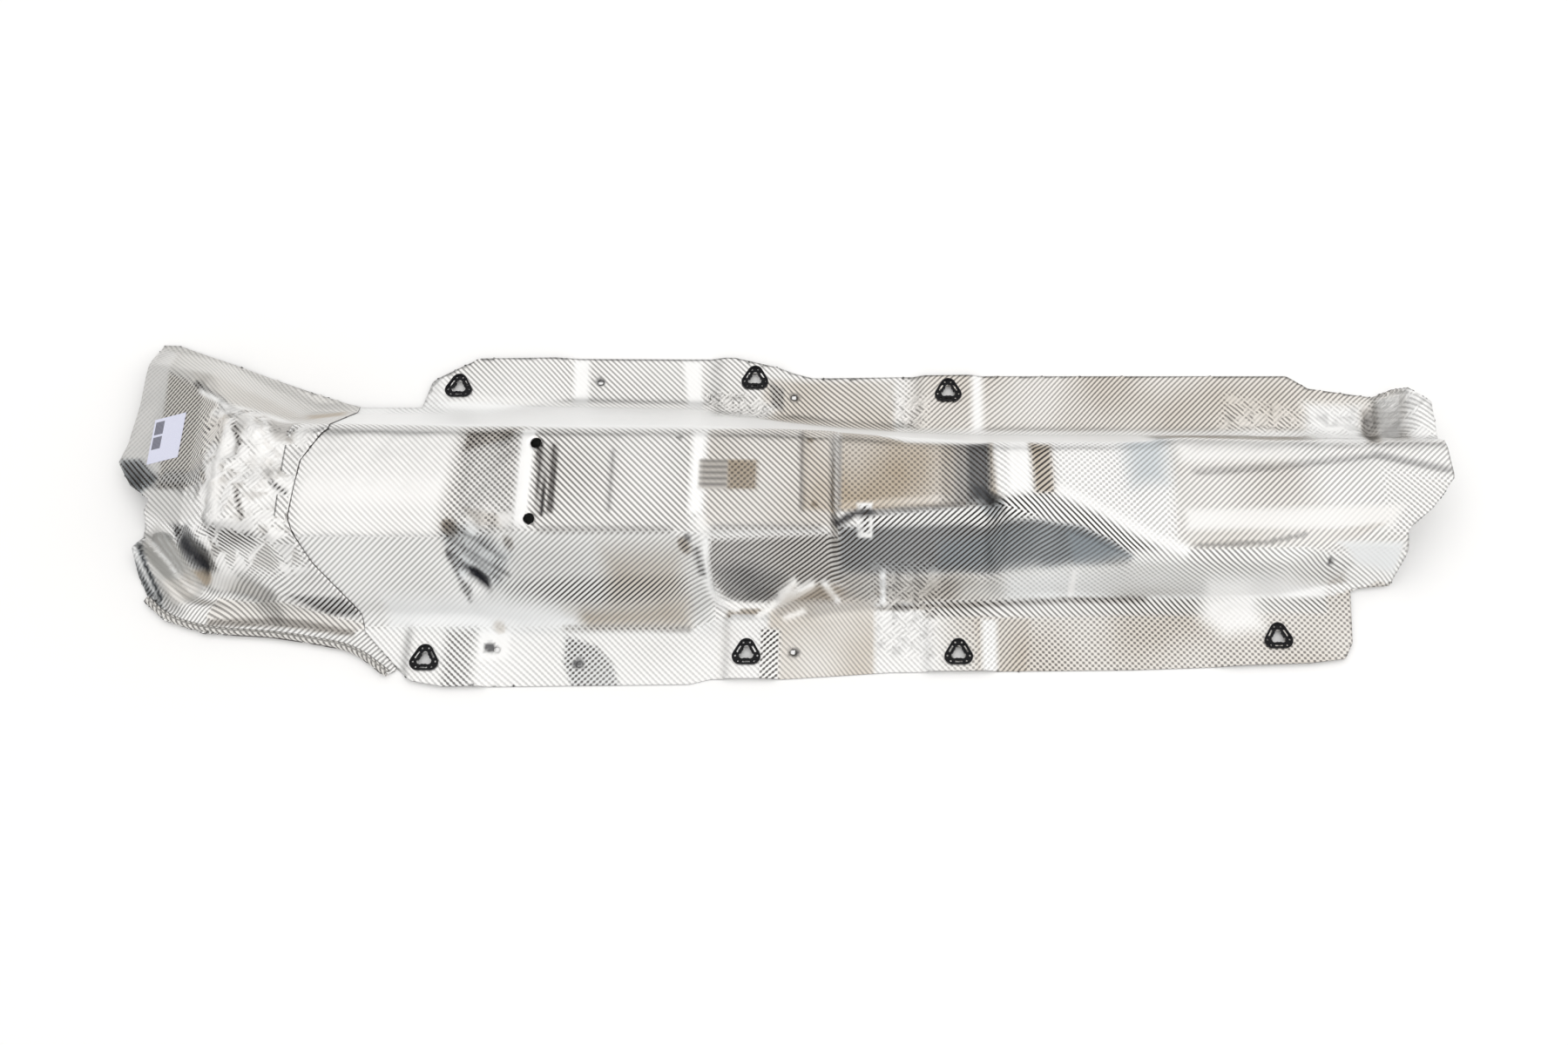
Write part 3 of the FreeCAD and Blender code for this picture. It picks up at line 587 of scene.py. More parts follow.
# %% Sheet sizes
SHEET = 1.2
SNAP_REACH = 9.0
INWARD = 0.4
PRESSED_THICKER = 0.35
print("sheet", SHEET, "mm thick")


# %% Both skins as points
def slopes(x, y, z):
    """The sheet's normal at every lattice point."""
    run = np.stack([np.gradient(v, axis=0) for v in (x, y, z)], axis=-1)
    rise = np.stack([np.gradient(v, axis=1) for v in (x, y, z)], axis=-1)
    facing = np.cross(run, rise)
    return facing / np.maximum(np.linalg.norm(facing, axis=-1, keepdims=True), 1e-9)


def both_skins(x, y, z, first_cell, moved, flat):
    """Every other lattice point is pressed in, less where the sheet is stretched or flat."""
    base = np.stack([x, y, z], axis=-1) + slopes(x, y, z) * moved[..., None]
    sides = np.moveaxis(base, -1, 0)
    facing = slopes(*sides)
    # From 1.1 times its length on, the foil loses its dimples.
    stretch = np.linalg.norm(np.stack([np.gradient(v, axis=0) for v in sides]), axis=0) / PITCH
    emboss = EMBOSS * np.clip(2.1 - stretch, 0.15, 1) * (1 - flat)
    cell = np.add.outer(np.arange(x.shape[0]) + first_cell[0],
                        np.arange(x.shape[1]) + first_cell[1])
    wave = np.where(cell % 2 == 0, 0.0, -2.0 * emboss)
    top = (base + facing * wave[..., None]) * MM
    thick = SHEET + PRESSED_THICKER * np.clip(np.abs(moved), 0, 4)
    return top, (base - facing * thick[..., None]) * MM


def sheet_layers(x, rows, look):
    """The attributes that the foil's finish reads."""
    return dict(lattice=np.stack([x, np.broadcast_to(rows, x.shape), np.zeros_like(x)], axis=-1),
                press=np.stack([look["crumple"], look["depth"], look["lean"]], axis=-1),
                film_and_painted_light=np.stack([look["warm"], look["cool"], look["shade"]], axis=-1),
                matt=look["matt"])


flat_grid = np.meshgrid(np.arange(3.0), np.arange(3.0), indexing="ij")
print("a flat sheet faces", slopes(*flat_grid, np.zeros((3, 3)))[1, 1])


# %% Drape a grid
def drape(places, layers, deep):
    mesh = bmesh.new()
    columns, rows = places.shape[:2]
    bmesh.ops.create_grid(mesh, x_segments=columns - 1, y_segments=rows - 1, size=1)
    kinds = mesh.verts.layers
    made = {name: (kinds.float_vector if values.ndim == 3 else kinds.float).new(name)
            for name, values in layers.items()}
    for vert in mesh.verts:
        spot = (round((vert.co.x + 1) / 2 * (columns - 1)), round((vert.co.y + 1) / 2 * (rows - 1)))
        vert.co = places[spot]
        for name, layer in made.items():
            vert[layer] = layers[name][spot]
    if deep:
        bmesh.ops.reverse_faces(mesh, faces=mesh.faces)
    return mesh


def trim(mesh, whole):
    """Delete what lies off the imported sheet, and give the points of the new edge in order."""
    off = [face for face in mesh.faces
           if math.isnan(drop(whole, *(face.calc_center_median() / MM).xy))]
    bmesh.ops.delete(mesh, geom=off, context="FACES")
    rim = [edge for edge in mesh.edges if edge.is_boundary]
    return list(dict.fromkeys(vert for edge in rim for vert in edge.verts))


print("a ray past the sheet gives", drop(main_whole, 0, 900))


# %% Draw the edge onto the cut edge
def draw_to_edge(mesh, rim, nearest, whole):
    lattice_layer = mesh.verts.layers.float_vector["lattice"]
    for vert in rim:
        target = nearest(vert.co)
        if target is None:
            continue
        shift = target.xy - vert.co.xy
        vert[lattice_layer] = vert[lattice_layer] + Vector((shift.x / MM, shift.y / MM, 0))
        faces = vert.link_faces
        inside = sum((face.calc_center_median() for face in faces), Vector()) / len(faces)
        step = (inside.xy - target.xy).normalized() * INWARD * MM
        height = drop(whole, *((target.xy + step) / MM))
        vert.co = target
        if not math.isnan(height):
            vert.co.z = (height - EMBOSS) * MM


def split_cells(mesh):
    """Split each cell along its ridges, so that every other cell is cut the other way."""
    lattice_layer = mesh.verts.layers.float_vector["lattice"]
    straight, crossed = [], []
    for face in mesh.faces:
        if len(face.verts) == 4:
            spot = face.verts[0][lattice_layer]
            even = (round(spot.x / PITCH) + round(spot.y / PITCH)) % 2 == 0
            (straight if even else crossed).append(face)
    bmesh.ops.triangulate(mesh, faces=straight, quad_method="FIXED")
    bmesh.ops.triangulate(mesh, faces=crossed, quad_method="ALTERNATE")


print("an edge point moves at most", SNAP_REACH, "mm")


# %% Turn the edge down and close the sheet
COARSER = 2


def turn_down(mesh):
    """Extrude the edge by the sheet's thickness. The new faces take the second finish."""
    mesh.normal_update()
    rim = [edge for edge in mesh.edges if edge.is_boundary]
    skirt = bmesh.ops.extrude_edge_only(mesh, edges=rim)["geom"]
    low = [v for v in skirt if isinstance(v, bmesh.types.BMVert)]
    lowest = set(low)
    for vert in low:
        above = next(e.other_vert(vert) for e in vert.link_edges if e.other_vert(vert) not in lowest)
        vert.co = vert.co - above.normal * SHEET * MM
        for face in vert.link_faces:
            face.material_index = 1
    return low


def close_below(mesh, below, layers, whole, low):
    """Add a coarser skin, whose edge is drawn onto the turned-down edge."""
    coarse = {name: values[::COARSER, ::COARSER] for name, values in layers.items()}
    under = drape(below[::COARSER, ::COARSER], coarse, deep=True)
    seam = KDTree(len(low))
    for number, vert in enumerate(low):
        seam.insert(vert.co, number)
    seam.balance()
    for vert in trim(under, whole):
        vert.co = seam.find(vert.co)[0]
    carrier = bpy.data.meshes.new("under")
    under.to_mesh(carrier)
    under.free()
    mesh.from_mesh(carrier)
    bpy.data.meshes.remove(carrier)


print("the lower skin has one point for", COARSER ** 2, "of the upper")


# %% The whole sheet
def lay_sheet(node, marks, look_of, skip=None, nearest_extra=None, beyond=None, calm_from=None):
    whole, edges = read_node(node)
    stations, places, heights = scan(node, whole, skip, beyond)
    x, y, z, rows = walk(stations, places, heights, calm_from)
    moved = marks(x, y)
    look = look_of(x, y)
    first_cell = round(stations[0] / PITCH), round(rows[0] / PITCH)
    top, below = both_skins(x, y, z, first_cell, moved, look["flat"])
    layers = sheet_layers(x, rows, look)

    def nearest(point):
        best = edges.find_nearest(point, SNAP_REACH * MM)[0]
        extra = nearest_extra(point.xy) if nearest_extra else None
        if extra and (best is None or (extra - point).xy.length < (best - point).xy.length + 2 * MM):
            best = extra
        return best

    mesh = drape(top, layers, deep=False)
    draw_to_edge(mesh, trim(mesh, whole), nearest, whole)
    split_cells(mesh)
    close_below(mesh, below, layers, whole, turn_down(mesh))
    for vert in mesh.verts:
        vert.co = [min(max(value, least), most) for value, least, most in zip(vert.co, *cad_box)]
    return mesh


def hand_over(sheet, node):
    """What every laid sheet needs: smooth shading, its body, and its imported node hidden."""
    sheet.data.shade_smooth()
    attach(sheet, ROOT)
    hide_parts(node)
    print(sheet.name, sum(len(p.vertices) - 2 for p in sheet.data.polygons), "triangles")


print("the sheets will ride on", ROOT)

# %% [markdown]
# ## The cut edge
#
# The sheet's cut edge is painted dark grey, as the shade that lines it, with a fine grain and
# without dimples or tint. A second material on the turned-down faces is enough: its grain is a
# small noise on Object coordinates, because the edge has no lattice that a pattern would have
# to follow.

# %% Edge finish: painted shade with a grain
edge_shade_finish, tree, shader = new_finish("cut_edge_painted_shade")
grain = noise_at(tree, wire(tree, "ShaderNodeTexCoord")["Object"], 900.0, 3.0)
# Painted shade on the cut edge: near-black grey with a fine grain.
edge_shade = blend_colours(tree, grain, (0.05, 0.048, 0.048, 1), (0.14, 0.13, 0.13, 1))
tree.links.new(edge_shade, shader.inputs["Base Color"])
shader.inputs["Metallic"].default_value = 1.0
shader.inputs["Roughness"].default_value = 0.45
print("finish:", edge_shade_finish.name)


# %% [markdown]
# ## The main panel's own marks
#
# On the real panel the press drew the metal over the corners of the tunnel, so the corners are
# gathered into small folds: at the foot of the front ramp, along the pocket's root, beside the
# clips and round the tail. A stamped field, two sewn-looking grooves and a raised strip lie on
# the roof. Separate little pieces laid on top would show their rims, so all of them are moves
# of the one sheet. The tables give a place, a width and a height or depth in millimetres.

# %% Places that are used more than once
CORNER = [(-358, -60), (-330, -46), (-286, -50), (-276, -96), (-300, -128), (-345, -118)]
POCKET = [(-62, -79), (60, -74), (150, -64), (150, -100), (45, -108), (10, -112), (-3, -121),
          (-34, -120), (-50, -116), (-61, -110), (-65, -98), (-65, -84)]
RIBBON = [(-66, -79), (-71, -95), (-69, -111), (-57, -121), (-38, -127)]
STRAP = [(101, -36), (118, -36), (117, -68), (101, -68)]
DENT = [(-343, -94), (-328, -100), (-314, -107), (-316, -117), (-328, -113), (-337, -106)]
GROOVES = [[(-253, 24), (-250, -10), (-246, -58)], [(-239, 24), (-236, -54)]]
FAR_GATHER = [(-92, 152), (-48, 153), (-2, 131), (-14, 112), (-73, 104)]
CLIP_GATHER = [(131, 152), (154, 147), (182, 148), (178, 102), (144, 102)]
TAIL_GATHER = [(545, 152), (610, 136), (641, 120), (600, 96), (535, 104)]
STAMP = ((-74, -27), (-12, 8))
STAMP_TEETH = ((-74, -27), (-43, 8))
STAMP_PLAIN = ((-43, -27), (-11, 8))
print("sewn grooves:", len(GROOVES))

# %% Creases that stand up or lie deeper
RAISED = [
    ((-358, -85), (-335, -121), 5, 1.6), ((-356, -70), (-289, -107), 5, 1.2),
    ((-346, -60), (-288, -96), 5, 1.0), ((-17, -136), (10, -116), 4, 1.7),
    ((10, -116), (30, -105), 4, 1.7), ((-3, -124), (50, -107), 4, 1.7),
    ((14, -136), (38, -128), 4, 1.2), ((60, -106), (77, -119), 4, 1.5),
    ((128, -93), (128, -142), 4, 1.7), ((282, 40), (288, -30), 5, 1.2),
    ((325, -17), (438, -69), 7, 1.2), ((347, -86), (343, -115), 4, 1.0),
    ((484, 40), (590, 38), 8, 1.2), ((481, -44), (640, -42), 8, 1.6),
    ((708, 122), (702, 84), 5, 2.0), ((-98, -76), (-92, -96), 6, 1.2),
    ((75, -127), (112, -112), 5, 1.2)]
SUNK = [
    ((-172, 19), (-172, -54), 3.2, 0.9), ((75, 43), (75, -46), 3.2, 0.9),
    ((37, 33), (40, -51), 3.2, 0.9), ((75, -54), (99, -47), 3.2, 0.9),
    ((307, 38), (310, -24), 6, 1.0), ((484, 16), (580, 24), 5, 1.8), ((580, 24), (694, 40), 5, 1.8),
    ((694, 40), (779, 18), 5, 1.8), ((481, -62), (640, -58), 4, 1.0),
    ((716, 124), (702, 60), 7, 2.4), ((570, 96), (630, 92), 6, 1.6)]
print("creases:", len(RAISED), "up and", len(SUNK), "down")

# %% Gathers beside the clips and round the tail
GATHERED = [
    (block(118, -88, 190, -134), 11, 1.6, 11.0), (block(120, -134, 188, -186), 7, 1.3, 13.0),
    (CLIP_GATHER, 9, 2.2, 17.0),
    (FAR_GATHER, 9, 1.0, 19.0),
    (block(500, -100, 560, -150), 14, 1.2, 23.0),
    (TAIL_GATHER, 12, 2.0, 29.0),
    ([(628, -60), (716, -60), (712, -100), (600, -128)], 20, 1.1, 31.0),
    ([(640, 136), (716, 134), (700, 64), (640, 62)], 13, 1.1, 37.0),
    ([(728, 136), (784, 126), (784, 70), (720, 66)], 22, 1.6, 41.0)]
print("gathers:", len(GATHERED))


# %% All marks of the main panel
STAMP_DEPTH = 0.9
DENT_DEPTH = 4.5


def teeth(y):
    return np.cos(y * WAVE + 0.4)


def main_marks(x, y):
    move = -STAMP_DEPTH * field(x, y, *STAMP, 4)
    move += 0.25 * field(x, y, *STAMP_TEETH, 3) * np.sign(teeth(y))
    move += 0.8 * field(x, y, (43, -48), (70, 38), 4) + 1.2 * outline(x, y, STRAP, 6)
    for groove in GROOVES:
        move -= 0.6 * path(x, y, groove, 3.4)
    for start, end, width, height in RAISED:
        move += height * crease(x, y, start, end, width)
    for start, end, width, depth in SUNK:
        move -= depth * crease(x, y, start, end, width)
    for corners, size, lift, seed in GATHERED:
        move += lift * gathered(x, y, outline(x, y, corners, 14), size, seed)
    move += 1.8 * path(x, y, RIBBON, 4.5)
    move += 1.5 * facets(x, y, outline(x, y, CORNER, 22), 15, 3)[0]
    move -= DENT_DEPTH * hollow(x, y, (-328, -109), (18, 11), -35)
    move -= 1.6 * hollow(x, y, (-303, 36), (20, 12)) + 1.2 * hollow(x, y, (-99, 35), (6, 6))
    # The metal was pushed up ahead of the fold.
    ahead = outline(x, y, [(224, -26), (224, 39), (262, 39), (262, -26)], 16)
    move += 4.0 * ahead * np.clip((x - 222) / 26, 0, 1) * np.clip((272 - x) / 16, 0, 1)
    bowl, lobe = hollow(x, y, (680, 98), (30, 22), -8), hollow(x, y, (660, -76), (52, 13), -6)
    return move - (0.8 * bowl + 2.2 * lobe)


print("the stamped field is", STAMP_DEPTH, "mm deep, the dent", DENT_DEPTH, "mm")

# %% [markdown]
# ## The main panel's looks
#
# No part of the real foil looks like the next: the press has rubbed some dimples flat, the
# forming has turned their bright side, and heat and oil have left films. The turned dimples
# and bends show dark, bluish and bright reflections, and creases and hollows hold shade: these
# are painted into the colour as painted shade, a painted bluish reflection and a warm tint that
# is partly film and partly painted reflection, and fields without dimple shade are painted
# highlights. An image texture would show all that at once, but only for one picture. Here each
# look is a soft-edged field with a few values, which blends over what lies below it, from the
# front to the rear. A field is written as its corners, the width of its soft edge, and the
# values it changes.

# %% Looks of the front roof and its ramp
# Painted shade on the ramp's dark patches, and a painted highlight along the crest band.
FRONT_ROOF = [
    (block(-520, 56, -345, -74), 16, dict(depth=0.26, lean=0.9)),
    (block(-520, -8, -350, -40), 26, dict(depth=0.1)),
    ([(-346, 62), (-277, 62), (-277, -84), (-364, -84)], 26,
     dict(depth=0.82, lean=0.35, warm=0.2, shade=0.03)),
    ([(-340, 48), (-286, 48), (-288, 36), (-342, 24)], 7, dict(depth=1.0, warm=0.5, shade=0.3)),
    ([(-338, -44), (-296, -56), (-288, -72), (-318, -66)], 7,
     dict(depth=0.9, lean=0.1, warm=0.6, shade=0.16)),
    ([(-296, -54), (-277, -56), (-279, -72), (-294, -70)], 6,
     dict(depth=0.05, shade=0.0, matt=0.6)),
    ([(-276, 48), (-261, 46), (-261, -72), (-276, -72)], 4,
     dict(depth=0.0, shade=0.0, warm=0.0, matt=0.4))]
print("fields on the front roof:", len(FRONT_ROOF))

# %% Looks of the plateau
PLATEAU = [
    # A painted highlight on the step at the plateau's end, where its dimple shade is taken away.
    ([(-258, 50), (-84, 48), (-84, -76), (-258, -76)], 8,
     dict(depth=0.68, lean=0.9, warm=0.12, shade=0.02)),
    (block(-84, 44, -70, -56), 8, dict(depth=0.05, shade=0.0, warm=0.0, matt=0.3)),
    ([(-66, 52), (15, 59), (78, 62), (78, -68), (-66, -68)], 8,
     dict(depth=0.62, lean=0.9, warm=0.3, shade=0.03)),
    ([(37, 56), (76, 58), (76, -52), (40, -52)], 4, dict(warm=0.55))]
print("fields on the plateau:", len(PLATEAU))

# %% Looks of the waist: recess, dark ramp, crest and slope
WAIST = [
    # Painted shade on the dark ramp and its corner, a painted highlight on the crest, and a painted
    # bluish reflection on the slope's far side.
    ([(80, 60), (160, 44), (262, 44), (262, -34), (80, -46)], 5,
     dict(depth=0.6, lean=0.05, warm=0.85, shade=0.12)),
    ([(80, -36), (240, -22), (240, -30), (80, -44)], 5,
     dict(depth=0.4, lean=-0.6, warm=0.7, shade=0.0)),
    ([(194, 44), (248, 44), (248, -32), (194, -34)], 12, dict(depth=0.9, lean=0.6, shade=0.26)),
    ([(210, 44), (248, 44), (248, -32), (210, -34)], 12, dict(depth=1.0, shade=0.5, warm=0.45)),
    ([(224, 44), (248, 44), (248, -32), (224, -34)], 8, dict(shade=0.78, warm=0.2, cool=0.3)),
    ([(228, -14), (244, -16), (264, -38), (256, -50), (236, -36)], 6,
     dict(depth=0.6, shade=0.9, cool=0.5)),
    ([(252, 44), (296, 40), (298, -30), (258, -30)], 7,
     dict(depth=0.36, lean=0.6, warm=0.0, shade=0.0)),
    ([(270, 44), (292, 40), (292, -24), (270, -24)], 6, dict(depth=0.1, matt=0.3)),
    ([(294, 38), (318, 38), (321, -30), (299, -32)], 9,
     dict(depth=1.0, lean=-0.9, warm=0.85, shade=0.1)),
    ([(324, 50), (402, 56), (452, -84), (330, -30)], 14, dict(depth=0.42, lean=-0.1, warm=0.0)),
    ([(402, 56), (457, 60), (452, -70), (420, -50)], 20, dict(depth=0.48, lean=-0.6, warm=0.0)),
    ([(400, 84), (457, 72), (452, 0), (410, -6)], 34,
     dict(depth=0.4, lean=-0.7, cool=0.6, matt=0.15))]
print("fields on the waist:", len(WAIST))

# %% Looks of the rear roof
REAR_ROOF = [
    # Fields with little dimple shade are painted highlights, and the last field is a painted bluish
    # reflection.
    ([(460, 96), (790, 90), (790, -70), (460, -84)], 16, dict(depth=0.58, lean=-0.85, warm=0.26)),
    ([(460, 64), (650, 60), (650, 32), (470, 28)], 18, dict(depth=0.24, warm=0.08, matt=0.2)),
    ([(600, 60), (800, 60), (800, -70), (640, -70)], 50, dict(depth=0.49, warm=0.04)),
    ([(700, 20), (800, 0), (800, -60), (700, -60)], 24, dict(lean=0.4)),
    ([(472, -32), (720, -26), (704, -52), (472, -56)], 12, dict(depth=0.14, warm=0.1, matt=0.25)),
    ([(472, -58), (640, -54), (700, -46), (660, -66), (560, -72), (474, -76)], 5,
     dict(depth=0.5, warm=0.3)),
    ([(256, -34), (325, -22), (374, -42), (438, -72), (480, -82), (478, -95), (410, -91),
     (384, -73), (350, -58), (300, -52), (256, -52)], 7,
     dict(depth=1.0, lean=0.95, warm=0.0, shade=0.0)),
    ([(398, -84), (478, -77), (606, -76), (668, -84), (632, -98), (512, -104), (392, -97)], 7,
     dict(depth=0.7, lean=0.9, warm=0.05, shade=0.0, matt=0.85)),
    ([(641, -68), (717, -68), (714, -89), (669, -84)], 7,
     dict(depth=0.08, warm=0.05, cool=0.3, flat=0.6, matt=0.5))]
print("fields on the rear roof:", len(REAR_ROOF))

# %% Looks of the near wall's front
FRONT_WALL = [
    # Painted shade and a painted bluish reflection on the near wall and the ramp's corner.
    ([(-520, -74), (-66, -76), (-66, -150), (-520, -146)], 6,
     dict(depth=0.44, lean=-0.9, cool=0.04, shade=0.0, matt=0.8)),
    (block(-330, -78, -68, -150), 40, dict(depth=0.55, shade=0.1, warm=0.1, cool=0.1)),
    ([(-300, -112), (-90, -108), (-90, -130), (-300, -132)], 10, dict(depth=0.85, shade=0.06)),
    (block(-180, -90, -95, -128), 34, dict(warm=0.55)),
    ([(-235, -134), (-160, -132), (-92, -124), (-92, -149), (-237, -149)], 18,
     dict(depth=0.5, warm=0.6, shade=0.05)),
    ([(-440, -120), (-321, -122), (-222, -135), (-212, -154), (-440, -150)], 22,
     dict(depth=0.1, warm=0.0, cool=0.18, shade=0.0, flat=0.5, matt=0.6)),
    ([(-360, -72), (-330, -62), (-284, -92), (-306, -114), (-350, -104)], 14,
     dict(cool=0.4, shade=0.1, depth=1.0, matt=0.2))]
print("fields on the front wall:", len(FRONT_WALL))

# %% Looks of the pocket and the waist's wall
REAR_WALL = [
    # Painted shade in the pocket, and a painted dark blue reflection on the wall beside the waist.
    (POCKET, 7, dict(depth=0.88, lean=-0.95, warm=0.24, cool=0.0, shade=0.32, matt=0.0)),
    ([(-62, -96), (-20, -94), (20, -102), (-3, -119), (-50, -116)], 12, dict(shade=0.52, warm=0.1)),
    ([(-52, -127), (-3, -126), (-3, -139), (-52, -138)], 4, dict(depth=0.7, warm=0.9, shade=0.3)),
    ([(0, -120), (46, -108), (118, -104), (118, -126), (74, -130), (44, -136), (4, -134)], 6,
     dict(depth=0.55, lean=-0.7, warm=0.8, shade=0.26)),
    ([(116, -50), (240, -34), (262, -40), (300, -50), (262, -55), (224, -54), (116, -64)], 6,
     dict(depth=1.0, lean=-0.95, warm=0.0, shade=0.05)),
    ([(80, -62), (118, -60), (224, -51), (262, -54), (316, -55), (350, -59), (384, -72),
     (408, -88), (404, -93), (345, -86), (272, -93), (214, -92), (80, -98)], 7,
     dict(depth=1.0, lean=-0.92, warm=0.05, cool=0.35, shade=0.56, matt=0.0)),
    ([(190, -66), (255, -58), (316, -57), (350, -61), (384, -75), (406, -88), (345, -85),
     (272, -91), (190, -88)], 14, dict(depth=0.85, cool=0.8, shade=0.48)),
    ([(335, -62), (384, -76), (406, -89), (345, -86)], 8, dict(depth=0.5, cool=1.0, shade=0.45)),
    ([(84, -96), (214, -93), (250, -98), (306, -112), (250, -120), (118, -122), (84, -112)], 16,
     dict(depth=0.75, lean=-0.8, warm=0.5, cool=0.15, shade=0.2)),
    ([(215, -98), (300, -92), (300, -118), (215, -118)], 30,
     dict(depth=0.45, warm=0.3, cool=0.2, shade=0.05, matt=0.3)),
    ([(270, -96), (341, -89), (449, -94), (520, -101), (600, -104), (596, -110), (456, -114),
     (346, -116), (270, -118)], 24,
     dict(depth=0.32, lean=0.2, warm=0.05, cool=0.24, shade=0.0, flat=0.3, matt=0.7)),
    ([(500, -102), (640, -98), (640, -124), (500, -124)], 14,
     dict(depth=0.12, cool=0.05, warm=0.0, matt=0.85))]
print("fields on the rear wall:", len(REAR_WALL))

# %% Looks of both flanges
FLANGES = [
    # Painted shade and a painted bluish reflection on a few flange patches; fields without dimple shade
    # are painted highlights.
    ([(-20, 170), (140, 170), (140, 98), (-20, 110)], 12, dict(depth=0.7, warm=0.5)),
    (block(-3, -118, 118, -226), 8, dict(depth=0.4, lean=0.8, warm=0.5)),
    ([(236, -118), (300, -118), (290, -226), (236, -226)], 14, dict(lean=-0.6, warm=0.6)),
    ([(175, -118), (416, -114), (640, -112), (640, -132), (416, -132), (175, -137)], 5,
     dict(depth=0.8, lean=0.95, warm=0.15)),
    (block(-470, 210, -404, 120), 20, dict(depth=0.25, warm=0.0)),
    ([(-255, 200), (-236, 200), (-232, 132), (-250, 132)], 8, dict(depth=0.03, warm=0.0, matt=0.3)),
    ([(-121, 200), (-98, 196), (-92, 127), (-110, 130)], 8, dict(depth=0.04, warm=0.0, matt=0.3)),
    ([(-92, 152), (-48, 153), (-2, 133), (-14, 112), (-73, 104)], 14,
     dict(depth=0.55, warm=0.12, crumple=0.3)),
    ([(-12, 166), (5, 157), (6, 126), (-9, 134)], 4,
     dict(depth=0.95, lean=0.6, shade=0.28, cool=0.2)),
    (block(234, 200, 248, 98), 12, dict(depth=0.1, warm=0.0)),
    ([(-334, -188), (-334, -152), (-300, -152), (-300, -184)], 8,
     dict(depth=0.02, shade=0.0, warm=0.0)),
    ([(-372, -152), (-338, -150), (-338, -226), (-372, -226)], 16, dict(depth=0.8, shade=0.05)),
    ([(-236, -158), (-225, -161), (-199, -170), (-181, -189), (-167, -226), (-220, -226),
     (-236, -190)], 8, dict(depth=0.9, lean=-0.2, shade=0.14, cool=0.1)),
    ([(-60, -150), (-36, -150), (-34, -222), (-64, -222)], 8, dict(depth=0.3, warm=0.1)),
    (block(-12, -150, 10, -215), 5, dict(depth=0.95, lean=-0.4, warm=0.1)),
    (block(241, -138, 259, -220), 6, dict(depth=0.35, lean=-0.3, warm=0.0)),
    ([(500, -112), (556, -108), (566, -150), (520, -158), (494, -136)], 26,
     dict(depth=0.14, warm=0.05, matt=0.3))]
CLIP_SEATS = [(-391, 159), (-32, 171), (205, 153), (-393, -187), (-28, -179), (214, -179),
              (582, -161)]
LOCATORS = [(-221, 170), (18, 148), (-219, -190), (26, -177), (-321, -172)]
print("fields on the flanges:", len(FLANGES), "with", len(CLIP_SEATS), "clip seats")

# %% Looks of the tail
TAIL = [
    # Painted shade in the bowl's fold, and a painted highlight in the bowl.
    ([(640, 140), (708, 136), (700, 74), (684, 54), (636, 58)], 20,
     dict(depth=0.24, lean=0.4, warm=0.0, shade=0.0, matt=0.85)),
    ([(656, 112), (700, 112), (694, 76), (664, 74)], 16,
     dict(depth=0.0, shade=0.0, flat=0.8, matt=1.0)),
    ([(708, 130), (724, 134), (724, 96), (704, 56), (690, 56), (708, 92)], 7,
     dict(depth=0.5, warm=0.45, shade=0.42)),
    ([(726, 140), (746, 136), (746, 92), (724, 64), (710, 62), (724, 96)], 9,
     dict(depth=0.12, warm=0.1, shade=0.1, flat=0.6, matt=0.2)),
    ([(749, 140), (800, 140), (800, 61), (748, 61)], 9,
     dict(depth=0.4, lean=0.3, warm=0.0, shade=0.0, matt=0.7)),
    ([(700, 76), (800, 70), (800, 58), (700, 60)], 8, dict(depth=0.4, matt=0.4, shade=0.0))]
print("fields on the tail:", len(TAIL))

# %% Sewn rows and lines of the roof and the pocket
# Painted shade along the sewn rows.
SEWN = [
    ([(72, 52), (73, -46)], 2.0), ([(79, 52), (80, -46)], 2.0),
    ([(481, -74), (560, -70), (606, -60)], 2.2), ([(-249, -75), (-103, -75)], 3.0),
    ([(-60, -70), (60, -68)], 2.6), ([(-237, -150), (-141, -150), (-93, -151)], 3.0)]
MIDDLE_LINES = [
    # Painted shade in the creases, and painted highlights where a line takes the dimple shade away.
    ([(74, -62), (97, -48), (120, -46)], 3.4, dict(shade=0.92)),
    ([(37, 50), (40, -52)], 2.4, dict(shade=0.5)),
    ([(120, -46), (182, -39), (240, -31)], 3.0, dict(shade=0.6)),
    ([(-172, 19), (-172, -54)], 2.4, dict(shade=0.4)),
    (RIBBON, 3.8, dict(depth=0.05, shade=0.0, warm=0.0)),
    ([(-78, -86), (-75, -104)], 3.4, dict(shade=0.45, depth=0.9)),
    ([(-72, -60), (-66, -78)], 6.0, dict(depth=0.2, shade=0.0)),
    ([(-17, -136), (10, -116), (30, -105)], 3.4, dict(depth=0.0, shade=0.0, warm=0.1)),
    ([(-3, -124), (50, -107)], 3.4, dict(depth=0.0, shade=0.0, warm=0.1)),
    ([(14, -136), (38, -128)], 3.0, dict(depth=0.0, shade=0.0, warm=0.2)),
    ([(60, -106), (77, -119)], 3.0, dict(depth=0.0, shade=0.05, warm=0.1)),
    ([(-52, -123), (-4, -123)], 2.8, dict(depth=0.3, shade=0.0, warm=0.1)),
    ([(128, -93), (128, -142)], 3.2, dict(depth=0.0, shade=0.0, warm=0.0))]
print("rows:", len(SEWN), "lines:", len(MIDDLE_LINES))

